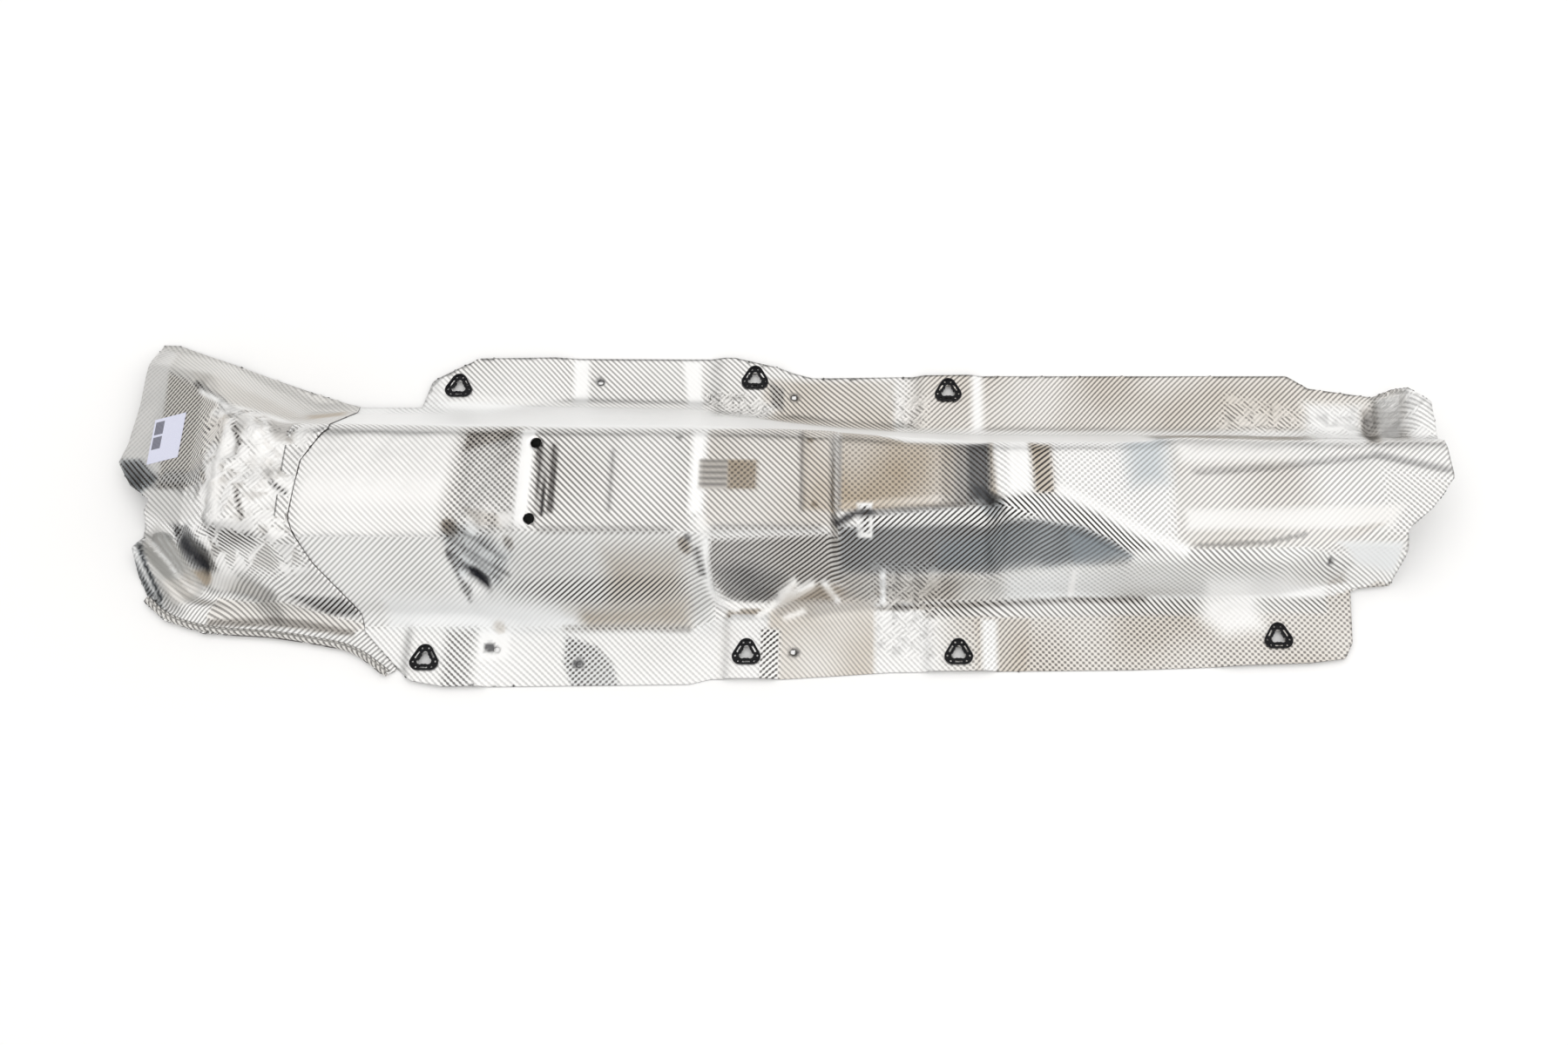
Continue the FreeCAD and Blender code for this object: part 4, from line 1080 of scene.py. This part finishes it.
# %% Lines of the rear and of the ramp's corner
END_LINES = [
    # Painted shade in the creases, and painted highlights where a line takes the dimple shade away.
    ([(325, -17), (374, -38), (438, -69), (472, -80)], 7.0,
     dict(depth=0.15, shade=0.0, warm=0.0, cool=0.0)),
    ([(347, -92), (343, -115)], 3.0, dict(cool=0.1, shade=0.0, depth=0.05)),
    ([(118, -125), (188, -123), (282, -119), (344, -115), (430, -115)], 2.4,
     dict(depth=1.0, shade=0.32, warm=0.4)),
    ([(484, 16), (580, 24), (694, 38)], 4.0, dict(shade=0.28)),
    ([(694, 40), (779, 18)], 4.0, dict(shade=0.42)),
    ([(716, 124), (708, 90), (698, 60)], 4.0, dict(shade=0.6, warm=0.4)),
    ([(600, 74), (690, 68)], 3.0, dict(shade=0.25)),
    ([(-349, -92), (-344, -107), (-339, -121)], 3.0,
     dict(depth=0.0, shade=0.0, warm=0.0, matt=0.4)),
    ([(-358, -86), (-350, -102), (-342, -124)], 2.0, dict(depth=1.0, shade=0.35)),
    ([(-354, -74), (-320, -92), (-289, -108)], 1.8, dict(depth=1.0, shade=0.5)),
    ([(-348, -64), (-290, -95)], 1.8, dict(depth=1.0, shade=0.45)),
    ([(-340, -86), (-300, -110)], 1.6, dict(depth=1.0, shade=0.4)),
    ([(-358, -85), (-341, -97)], 2.6, dict(depth=1.0, shade=0.75))]
print("lines:", len(END_LINES))

# %% Loose spots and crumpled places
# Painted shade in small dents and hollows, and a painted highlight at one spot.
SPOTS = [
    ((-350, -66), 13, dict(depth=1.0, warm=0.9, shade=0.62)),
    ((-324, -70), 8, dict(depth=0.1, shade=0.0, matt=0.6)),
    ((-90, -86), 9, dict(depth=1.0, warm=0.8, shade=0.3)),
    ((-86, -80), 5, dict(shade=0.75)),
    ((-99, 35), 5, dict(shade=0.6)),
    ((47, 34), 5, dict(warm=1.0, shade=0.5)),
    ((54, -45), 5, dict(warm=1.0, shade=0.5)),
    ((638, -83), 4, dict(shade=0.9)),
    ((-284, -84), 8, dict(depth=1.0, warm=0.5, shade=0.3, crumple=0.4)),
    ((-312, -148), 10, dict(warm=0.7, shade=0.08)),
    ((-348, -94), 8, dict(depth=1.0, shade=0.35, crumple=0.6)),
    ((-344, -114), 9, dict(depth=1.0, shade=0.3, crumple=0.6))]
LOOSE = [
    (block(118, -88, 190, -186), 8, 7),
    (TAIL_GATHER, 12, 8),
    (CLIP_GATHER, 9, 10),
    ([(636, 140), (724, 136), (704, 58), (636, 60)], 12, 14),
    ([(724, 140), (790, 130), (790, 66), (716, 62)], 16, 15),
    (FAR_GATHER, 8, 12)]
print("spots:", len(SPOTS), "crumpled places:", len(LOOSE))


# %% The far wall and the flanges
def ramp_up(values, start, run):
    """From 0 at the start to 1 after the run."""
    return np.clip((values - start) / run, 0, 1)


def paint_far_wall(look, x, y):
    """The far wall lies between its root and the roof's edge, which both wander."""
    far_root = np.interp(x, [-520, -354, -267, -99, -46, 5, 63, 112, 154, 269, 427, 700],
                         [146, 139, 130, 127, 122, 107, 104, 101, 92, 92, 92, 92])
    roof_edge = np.interp(x, [-520, -402, -320, -238, -81, 15, 64, 119, 155, 263, 416, 457],
                          [68, 62, 56, 49, 48, 56, 60, 54, 40, 38, 55, 57])
    before_tail = np.clip((448 - x) / 16, 0, 1)
    wall = np.clip((far_root - y) / 5 + 0.5, 0, 1) * np.clip((y - roof_edge) / 5 + 0.5, 0, 1)
    wall = wall * before_tail
    # A faint painted bluish reflection over the far wall.
    paint(look, wall, depth=0.03, lean=0.5, warm=0.02, cool=0.07, shade=0.0, flat=0.9, matt=0.9)
    paint(look, wall * ramp_up(x, -260, 300), warm=0.08, cool=0.08, matt=1.0)
    head = np.clip((y - roof_edge + 12) / 8, 0, 1) * np.clip((roof_edge + 8 - y) / 8, 0, 1)
    paint(look, head * before_tail, matt=0.7)
    return far_root


def paint_spots(look, x, y, spots, radius, **values):
    for spot in spots:
        away = np.hypot(x - spot[0], y - spot[1])
        paint(look, np.clip((radius - away) / 2, 0, 1), **values)


def paint_flanges(look, x, y):
    far_root = paint_far_wall(look, x, y)
    near_root = np.interp(x, [-520, -240, -95, -60, -40, 100, 300, 500, 640, 700],
                          [-150, -151, -151, -136, -134, -121, -119, -118, -112, -95])
    far, near = (y > far_root) * 1.0, (y < near_root) * 1.0
    paint(look, far, depth=0.56, lean=0.85, warm=0.08, matt=0.1)
    paint(look, far * ramp_up(x, 140, 30), depth=0.62, lean=-0.8, warm=0.40)
    paint(look, far * np.clip((far_root + 14 - y) / 8, 0, 1), depth=0.3, warm=0.1, matt=1.0)
    paint(look, near, depth=0.30, lean=0.55, warm=0.02, matt=0.4)
    paint(look, near * ramp_up(x, 180, 60), depth=0.70, lean=0.08, warm=0.42)
    paint_zones(look, x, y, FLANGES)
    paint_zones(look, x, y, TAIL)
    # Painted shade round the clip seats and round the locator holes.
    paint_spots(look, x, y, CLIP_SEATS, 9.5, depth=0.8, shade=0.30)
    paint_spots(look, x, y, LOCATORS, 7.5, depth=0.2, shade=0.85, matt=0.0)


print("halfway up a ramp:", ramp_up(155, 140, 30))


# %% The stamped field, the strap and the sewn rows
def paint_stamps(look, x, y):
    # Painted highlight round the strap, and painted shade inside it, on the stamped field and on every
    # other tooth.
    paint(look, outline(x, y, STRAP, 3), depth=0.1, shade=0.0, warm=0.0, cool=0.0, lean=-0.6)
    paint(look, field(x, y, (105, -64), (114, -40), 3), depth=1.0, shade=0.10)
    paint(look, field(x, y, *STAMP_PLAIN, 4), depth=0.7, warm=1.0, shade=0.30, lean=0.0)
    paint(look, field(x, y, *STAMP_TEETH, 4), depth=0.1, warm=0.4, shade=0.35)
    paint(look, field(x, y, *STAMP_TEETH, 3) * (teeth(y) > 0), shade=0.72)


def paint_sewing(look, x, y):
    # Painted shade in the grooves' stitches, in the dent and along the sewn rows.
    for groove in GROOVES:
        stitch = 0.60 + 0.40 * np.cos(2 * (y - 0.4 * x) * WAVE)
        paint(look, np.clip(2.4 * path(x, y, groove, 3.6), 0, 1) * stitch, depth=1.0, shade=1.0,
              warm=0.3)
    paint(look, outline(x, y, DENT, 5), depth=0.1, warm=0.1, shade=1.0, matt=0.0)
    sewn = np.max([np.clip(1.5 * path(x, y, line, width), 0, 1) for line, width in SEWN], axis=0)
    paint(look, sewn * (0.55 + 0.45 * np.cos((x - y) * WAVE)), shade=0.65, warm=0.3)


print("a groove has a stitch every", PITCH, "mm")


# %% The main panel's looks, put together
def main_look(x, y):
    look = plain_look(x)
    for zones in (FRONT_ROOF, PLATEAU, WAIST, REAR_ROOF, FRONT_WALL, REAR_WALL):
        paint_zones(look, x, y, zones)
    paint_flanges(look, x, y)
    paint_stamps(look, x, y)
    paint_sewing(look, x, y)
    paint_lines(look, x, y, MIDDLE_LINES + END_LINES)
    for spot, size, values in SPOTS:
        paint(look, np.clip(1.6 * hollow(x, y, spot, (size, size * 0.8), -35), 0, 1), **values)
    for corners, size, seed in LOOSE:
        mask = outline(x, y, corners, 20)
        _, shine = facets(x, y, mask, size, seed)
        # Facets turned away get painted shade, and facets turned up lose their dimple shade as painted
        # highlights.
        look["crumple"] += 0.3 * mask
        look["depth"] += np.clip(-2.0 * shine, 0, 1) * (0.24 - look["depth"])
        look["shade"] += np.clip(shine - 0.5, 0, 1) * 0.5
        look["lean"] += (np.sign(shine + 0.2) * 0.7 - look["lean"]) * mask
    # Painted highlights on the corner's upturned facets.
    _, shine = facets(x, y, outline(x, y, CORNER, 16), 15, 3)
    look["depth"] += np.clip(-shine, 0, 1) * (0.3 - look["depth"])
    drift = patchwork(x, y, 90, 5.0)
    look["warm"] = np.clip(look["warm"] * (1 + 0.35 * drift), 0, 1)
    look["depth"] = np.clip(look["depth"] * (1 + 0.15 * drift), 0, 1)
    return look


TAIL_START = 700
mesh = lay_sheet("main_panel", main_marks, main_look, calm_from=TAIL_START)
main_sheet = to_object(mesh, "main_sheet", foil, edge_shade_finish)
hand_over(main_sheet, "main_panel")

# %% [markdown]
# ## The bell mouth
#
# The bell mouth is a flare as wide as two hands. Its crown was crumpled while it was drawn:
# the facets catch the light one by one. Its near corner is pressed into a smooth dish with a
# raised rim, and its near edge is rolled into a hem. Noise alone makes crumples that look
# like waves, so flat facets are used: a grid of triangles with loosened corners, large ones
# first and small ones over them, seen through a soft outline.

# %% Near edge of the bell mouth
HEM_LINE = [(-722, -114), (-698, -136), (-648, -152), (-572, -156), (-527, -163), (-475, -173),
            (-434, -203)]
HEM_HEIGHT = 5.55
HEM_CLEAR = 5.5


def hem_nearest(point):
    """The hem's nearest place, where the sheet's edge goes instead of to a cut edge."""
    best = None
    for start, end in zip(HEM_LINE[:-1], HEM_LINE[1:]):
        start, end = Vector(start) * MM, Vector(end) * MM
        share = (point - start).dot(end - start) / (end - start).length_squared
        spot = start.lerp(end, min(1, max(0, share)))
        if best is None or (spot - point).length < (best - point).length:
            best = spot
    return Vector((*best, HEM_HEIGHT * MM)) if (best - point).length < SNAP_REACH * MM else None


def near_hem(x, y):
    """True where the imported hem's roll stands in the rays' way."""
    near = np.zeros(x.shape, bool)
    for start, end in zip(HEM_LINE[:-1], HEM_LINE[1:]):
        near |= off_line(x, y, start, end)[1] < HEM_CLEAR
    return near


print("the hem runs through", len(HEM_LINE), "points")

# %% Outlines on the bell mouth
CROWN = [(-652, 84), (-625, 90), (-583, 84), (-519, 62), (-512, -60), (-578, -66), (-620, -60),
         (-640, 0)]
LABEL_SIDE = [(-737, 168), (-700, 146), (-640, 100), (-626, 80), (-632, 20), (-640, 2), (-713, 12),
              (-728, 57), (-733, 115)]
SHOULDER = [(-664, -62), (-520, -62), (-520, -96), (-560, -104), (-620, -92), (-650, -76)]
DISH = [(-738, -34), (-713, -34), (-690, -50), (-682, -70), (-664, -89), (-657, -102),
        (-672, -120), (-688, -122), (-706, -102), (-721, -80), (-735, -54)]
RIM = [(-741, -48), (-728, -74), (-716, -97), (-706, -116)]
OUTER_RIM = [(-744, -72), (-728, -98), (-716, -114), (-702, -132)]
LIP_LINE = [(-713, 22), (-680, 14), (-639, 4)]
FOLDS = [
    ([(-692, 143), (-628, 90)], 6, 2.0), ([(-626, 78), (-613, 46), (-618, 5), (-610, -57)], 7, 1.6),
    ([(-600, 74), (-577, 41), (-560, 10)], 6, 1.5), (LIP_LINE, 6, 1.4)]
print("folds:", len(FOLDS))


# %% All marks of the bell mouth
def front_marks(x, y):
    crown = outline(x, y, CROWN, 20)
    move = 3.6 * facets(x, y, crown, 30, 21)[0] + 1.6 * facets(x, y, crown, 13, 22)[0] - 0.8 * crown
    slope = [(-668, 110), (-640, 96), (-610, 20), (-600, -56), (-640, -50), (-668, 20)]
    move += 2.0 * facets(x, y, outline(x, y, slope, 12), 18, 23)[0]
    move += 1.6 * facets(x, y, outline(x, y, SHOULDER, 20), 16, 24)[0]
    for points, width, height in FOLDS:
        move += height * path(x, y, points, width)
    gutter = 1.8 * crease(x, y, (-637, -104), (-546, -128), 7)
    move -= gutter + 1.4 * crease(x, y, (-546, -128), (-459, -147), 6)
    move += 2.6 * hollow(x, y, (-630, -98), (26, 14), 10)
    move -= 2.4 * path(x, y, [(-676, -52), (-656, -72), (-640, -90)], 9)
    return move


print("the lip's fold stands", FOLDS[-1][2], "mm up")

# %% Looks of the flare and the lip
FLARE = [
    # Painted shade and a painted dark blue reflection on the slate lip and the lip band, and painted
    # highlights where the dimple shade is taken away.
    ([(-770, 220), (-640, 200), (-505, 160), (-495, 64), (-519, 62), (-583, 84), (-625, 90),
     (-700, 146), (-740, 172)], 8,
     dict(depth=0.26, lean=0.5, warm=0.34, cool=0.18, shade=0.0, flat=0.4, matt=0.5)),
    ([(-700, 160), (-640, 140), (-560, 100), (-525, 80), (-583, 84), (-625, 90), (-690, 136)], 16,
     dict(warm=0.5, shade=0.05)),
    (LABEL_SIDE, 12, dict(depth=0.9, lean=-0.6, warm=0.38, shade=0.0, matt=0.4)),
    ([(-800, 230), (-742, 205), (-734, 160), (-726, 57), (-716, 30), (-800, 30)], 6,
     dict(depth=0.18, lean=-0.4, warm=0.16, cool=0.08, flat=0.5, matt=0.4)),
    ([(-714, 30), (-684, 24), (-638, 12), (-638, -4), (-688, 4), (-716, 10)], 9,
     dict(depth=1.0, shade=0.25, warm=0.5)),
    ([(-779, 56), (-768, 22), (-741, 8), (-719, 22), (-750, 52)], 9,
     dict(depth=1.0, lean=0.8, warm=0.0, cool=0.6, shade=0.5, crumple=0.3)),
    ([(-774, 52), (-762, 24), (-744, 14), (-742, 34)], 9, dict(shade=0.72)),
    ([(-740, 14), (-689, 2), (-636, -44), (-688, -40), (-725, -24)], 7,
     dict(depth=0.42, lean=0.9, warm=0.1, shade=0.0, matt=0.6))]
print("fields on the flare:", len(FLARE))

# %% Looks of the crown
CROWN_FIELDS = [
    # Painted shade on a few patches of the crown.
    (CROWN, 14, dict(depth=0.46, lean=0.5, warm=0.05, matt=0.35)),
    ([(-668, 90), (-622, 68), (-618, 34), (-650, 44)], 9,
     dict(depth=1.0, lean=0.3, warm=0.4, shade=0.0)),
    ([(-566, 64), (-520, 66), (-520, -50), (-580, -44)], 22, dict(depth=0.22, matt=0.5)),
    ([(-624, -58), (-570, -60), (-568, -80), (-622, -80)], 10,
     dict(depth=1.0, lean=0.1, shade=0.22)),
    ([(-574, 68), (-540, 70), (-536, 36), (-557, 38)], 8, dict(depth=1.0, shade=0.3, warm=0.3)),
    ([(-556, 104), (-522, 122), (-512, 104), (-540, 84)], 12, dict(warm=0.9, cool=0.0, shade=0.04))]
print("fields on the crown:", len(CROWN_FIELDS))

# %% Looks of the dish and the hem's root
CORNERS = [
    # Painted shade in the dark spot beside the dish and along the hem's root, painted bluish reflection
    # round the dish, and painted highlights on the pale fields.
    ([(-770, -24), (-744, -34), (-738, -54), (-718, -92), (-702, -124), (-740, -130), (-780, -70)],
     4, dict(depth=0.25, cool=0.2, shade=0.0, matt=0.7)),
    (DISH, 11, dict(depth=0.05, lean=0.8, warm=0.5, cool=0.35, shade=0.18, flat=0.9, matt=0.1)),
    ([(-704, -96), (-682, -80), (-664, -96), (-674, -118), (-690, -120)], 14,
     dict(depth=0.25, warm=0.4, cool=0.1, shade=0.0, matt=0.4)),
    ([(-682, -44), (-657, -50), (-636, -74), (-630, -90), (-648, -93), (-669, -80), (-680, -64)],
     6, dict(depth=1.0, lean=-0.4, warm=0.1, cool=0.3, shade=0.6, matt=0.0)),
    ([(-668, -86), (-646, -88), (-640, -95), (-656, -100)], 4,
     dict(depth=0.1, warm=1.0, cool=0.0, shade=0.08)),
    ([(-641, -92), (-613, -90), (-606, -101), (-632, -107), (-649, -100)], 6,
     dict(depth=0.15, warm=0.05, shade=0.0, matt=0.5)),
    ([(-642, -112), (-546, -128), (-459, -146), (-480, -154), (-560, -146), (-650, -138)], 6,
     dict(depth=0.62, lean=0.9, warm=0.3, shade=0.0, matt=0.2)),
    ([(-549, -120), (-486, -122), (-458, -136), (-505, -136)], 5,
     dict(depth=1.0, lean=-0.9, shade=0.28, cool=0.1)),
    ([(-648, -139), (-575, -136), (-530, -142), (-478, -152), (-480, -158), (-540, -150),
     (-590, -146), (-648, -146)], 4, dict(depth=0.6, warm=0.5, shade=0.5))]
print("fields round the dish:", len(CORNERS))

# %% Lines on the bell mouth
MOUTH_LINES = [
    # Painted shade along the folds, rims and the dark spot's core, a painted bluish reflection on the
    # rims, and painted highlights on the pale lines.
    (LIP_LINE, 8, dict(depth=1.0, lean=-0.2, shade=0.28, warm=0.1)),
    ([(-672, -60), (-658, -73), (-642, -87)], 8.5, dict(depth=0.3, shade=1.0, matt=0.0)),
    ([(-688, 140), (-628, 90)], 3.4, dict(depth=1.0, shade=0.5, warm=0.4)),
    ([(-680, 128), (-622, 84)], 3.0, dict(depth=0.0, shade=0.0, warm=0.0, matt=0.4)),
    ([(-626, 78), (-613, 46), (-618, 5), (-610, -57)], 6.0, dict(depth=0.05, shade=0.0, matt=0.5)),
    ([(-600, 74), (-577, 41), (-560, 10)], 7.0, dict(depth=0.05, shade=0.0, matt=0.5)),
    ([(-608, 60), (-594, 30)], 2.2, dict(depth=1.0, shade=0.45, warm=0.3)),
    ([(-590, -24), (-580, -58)], 2.2, dict(depth=1.0, shade=0.4, warm=0.3)),
    ([(-650, 26), (-634, -10)], 2.4, dict(depth=1.0, shade=0.25, warm=0.4)),
    ([(-554, -14), (-534, -28)], 2.2, dict(depth=1.0, shade=0.4)),
    ([(-560, 2), (-548, -22)], 2.0, dict(shade=0.35)),
    ([(-728, -44), (-702, -72), (-684, -106)], 2.0, dict(shade=0.0, warm=0.3, matt=0.4)),
    ([(-718, -42), (-694, -72), (-674, -104)], 1.8, dict(shade=0.02, warm=0.3, matt=0.4)),
    ([(-704, -46), (-684, -74), (-668, -96)], 1.8, dict(shade=0.02, warm=0.3, matt=0.4)),
    (RIM, 2.2, dict(depth=0.3, cool=0.6, shade=0.95, matt=0.0)),
    (OUTER_RIM, 3.2, dict(depth=0.8, cool=0.6, shade=0.7, matt=0.0))]
print("lines on the bell mouth:", len(MOUTH_LINES))


# %% The bell mouth's looks, put together
def facet_look(look, x, y, mask, size, seed, light=1.0):
    """Some facets lose their dimple shade as painted highlights, some get painted shade and a warm
    tint, and each leans its own way.
    """
    _, shine = facets(x, y, mask, size, seed)
    look["depth"] += np.clip(-3 * shine, 0, 1) * (0.12 - look["depth"])
    look["shade"] += light * np.clip(shine * 0.9 - 0.5, 0, 1)
    look["warm"] += 0.4 * np.clip(shine - 0.5, 0, 1)
    look["lean"] += (np.sign(shine) * 0.85 - look["lean"]) * mask


def front_look(x, y):
    look = plain_look(x)
    paint(look, (y < -60) * 1.0, depth=0.60, lean=-0.9, matt=0.2)
    paint_zones(look, x, y, FLARE)
    paint_zones(look, x, y, CROWN_FIELDS)
    crown = outline(x, y, CROWN, 14)
    facet_look(look, x, y, crown, 30, 21)
    facet_look(look, x, y, crown, 13, 22, 0.5)
    facet_look(look, x, y, outline(x, y, SHOULDER, 20), 16, 24, 0.6)
    look["crumple"] += crown * 0.2
    paint_zones(look, x, y, CORNERS)
    paint_lines(look, x, y, MOUTH_LINES)
    for name in ("depth", "shade", "warm"):
        look[name] = np.clip(look[name], 0, 1)
    return look


mesh = lay_sheet("front_panel", front_marks, front_look, near_hem, hem_nearest, main_whole)
print("bell mouth before its hem:", len(mesh.faces), "faces")

# %% [markdown]
# ## The rolled hem
#
# The bell mouth's near edge is rolled round into a hem, which makes it stiff and safe to
# touch. A curve with a round bevel would be quick, but its ends can't share the sheet's
# attributes. So circles are set along the rounded line and bridged into a tube, and each
# circle carries the lattice on: the rolled foil shows the same dimples as the rest.

# %% The hem's line
HEM_RADIUS = 4.2
HEM_SIDES = 16
HEM_WAVES = 8
HEM_SHADOW = (2, 3, 9)


def rounded_line(points, times):
    """Cut each corner at its quarters, again and again, until the line is smooth."""
    line = [Vector(point) * MM for point in points]
    for _ in range(times):
        cut = [line[0]]
        for before, after in zip(line[:-1], line[1:]):
            cut += [before.lerp(after, 0.25), before.lerp(after, 0.75)]
        line = cut + [line[-1]]
    return line


hem_line = rounded_line(HEM_LINE, 4)
print("the hem's tube has", len(hem_line), "rings")


# %% The hem's tube
def hem_ring(mesh, line, number, travelled):
    ahead = line[min(number + 1, len(line) - 1)] - line[max(number - 1, 0)]
    place = Vector((ahead.x, ahead.y, 0)).to_track_quat("Z", "Y").to_matrix().to_4x4()
    place.translation = Vector((*line[number], HEM_HEIGHT * MM))
    ring = bmesh.ops.create_circle(mesh, segments=HEM_SIDES, radius=HEM_RADIUS * MM, matrix=place,
                                   cap_ends=number in (0, len(line) - 1))["verts"]
    vectors, numbers = mesh.verts.layers.float_vector, mesh.verts.layers.float
    for side, vert in enumerate(ring):
        round_it = side / HEM_SIDES * HEM_WAVES * PITCH
        vert[vectors["lattice"]] = Vector((travelled / MM, round_it, 0))
        vert[vectors["press"]] = Vector((0.5, 0.75, 0.6))
        vert[vectors["film_and_painted_light"]] = Vector((0.4, 0.15, 0.8 if side in HEM_SHADOW else 0.0))
        vert[numbers["matt"]] = 0.8
    return ring


def edges_of(ring):
    return [e for e in dict.fromkeys(e for v in ring for e in v.link_edges)
            if e.verts[0] in ring and e.verts[1] in ring]


rings, travelled = [], 0.0
for number, spot in enumerate(hem_line):
    travelled += (spot - hem_line[max(number - 1, 0)]).length
    rings.append(hem_ring(mesh, hem_line, number, travelled))
for first, second in zip(rings[:-1], rings[1:]):
    bmesh.ops.bridge_loops(mesh, edges=edges_of(first) + edges_of(second))
front_sheet = to_object(mesh, "front_sheet", foil, edge_shade_finish)
hand_over(front_sheet, "front_panel")

# %% [markdown]
# ## The clips
#
# The clips are moulded in black plastic with a semi-gloss skin. Their packed form has all the
# windows already, so modelling them again would gain nothing. It lacks the moulding's small
# edge radius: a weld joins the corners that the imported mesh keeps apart, and a bevel rounds
# every sharp edge, so that each one catches a thin line of light.

# %% Black plastic
plastic, tree, shader = new_finish("moulded_black_plastic")
spot = wire(tree, "ShaderNodeTexCoord")["Object"]
flow = noise_at(tree, spot, 240.0, 3.0)
black = blend_colours(tree, flow, (0.003, 0.003, 0.004, 1), (0.010, 0.010, 0.012, 1))
tree.links.new(black, shader.inputs["Base Color"])
tree.links.new(remap(tree, flow, (0.35, 0.65), (0.16, 0.28)), shader.inputs["Roughness"])
shader.inputs["Specular IOR Level"].default_value = 0.14


def fine_bump(tree, shader, height, distance, strength):
    bump = wire(tree, "ShaderNodeBump",
                {"Height": height, "Distance": distance * MM, "Strength": strength})[0]
    tree.links.new(bump, shader.inputs["Normal"])


fine_bump(tree, shader, noise_at(tree, spot, 2600.0, 2.0), 0.04, 0.6)
print("finish:", plastic.name)


# %% The moulding's edge radius
def dress(node, finish):
    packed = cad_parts[node]
    packed.data.materials.clear()
    packed.data.materials.append(finish)
    return packed


clips = dress("retaining_clips", plastic)
weld = clips.modifiers.new("join_corners", "WELD")
weld.merge_threshold = 0.01 * MM
bevel = clips.modifiers.new("mould_radius", "BEVEL")
bevel.width = 0.35 * MM
bevel.segments = 2
bevel.limit_method = "ANGLE"
bevel.angle_limit = math.radians(35)
print("clips finished with", plastic.name)

# %% [markdown]
# ## The label
#
# A paper label with a block of plain bars is stuck on the flare. The bars could be modelled
# as thin strips, but ink has no thickness. So one wave texture makes them, and it is let
# through only between a few heights and widths. The paper itself has a fine fibre.

# %% Printed paper
INK = (0.045, 0.045, 0.07, 1)
ROWS = ((81, 98), (62, 78))
COLUMN = (-737.5, -724.5)
paper, tree, shader = new_finish("printed_label_paper")
place = wire(tree, "ShaderNodeTexCoord")["Object"]
fibre = noise_at(tree, place, 700.0, 5.0)
sheet_white = blend_colours(tree, fibre, (0.66, 0.68, 0.84, 1), (0.80, 0.81, 0.94, 1))
east, north, _ = wire(tree, "ShaderNodeSeparateXYZ", {0: place})


def between(value, low, high):
    above = maths(tree, "GREATER_THAN", value, low * MM)
    return maths(tree, "MULTIPLY", above, maths(tree, "LESS_THAN", value, high * MM))


rows = maths(tree, "ADD", between(north, *ROWS[0]), between(north, *ROWS[1]), clamp=True)
printed = maths(tree, "MULTIPLY", between(east, *COLUMN), rows)
bars = wire(tree, "ShaderNodeTexWave", {"Vector": place, "Scale": 190.0, "Distortion": 0.0},
            bands_direction="X")[1]
ink = maths(tree, "MULTIPLY", printed, maths(tree, "MULTIPLY_ADD", bars, 0.35, 0.6))
tree.links.new(blend_colours(tree, ink, sheet_white, INK), shader.inputs["Base Color"])
shader.inputs["Roughness"].default_value = 0.5
fine_bump(tree, shader, fibre, 0.05, 0.5)
dress("label", paper)
print("label finished with", paper.name)

# %% [markdown]
# ## Close the lesson
#
# The visual model must stay inside the imported model's box. The visual model's corners are
# printed below.

# %% Sizes and the last line
visual_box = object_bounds()
for corner in visual_box:
    print("visual model's corner", [round(value, 3) for value in corner])
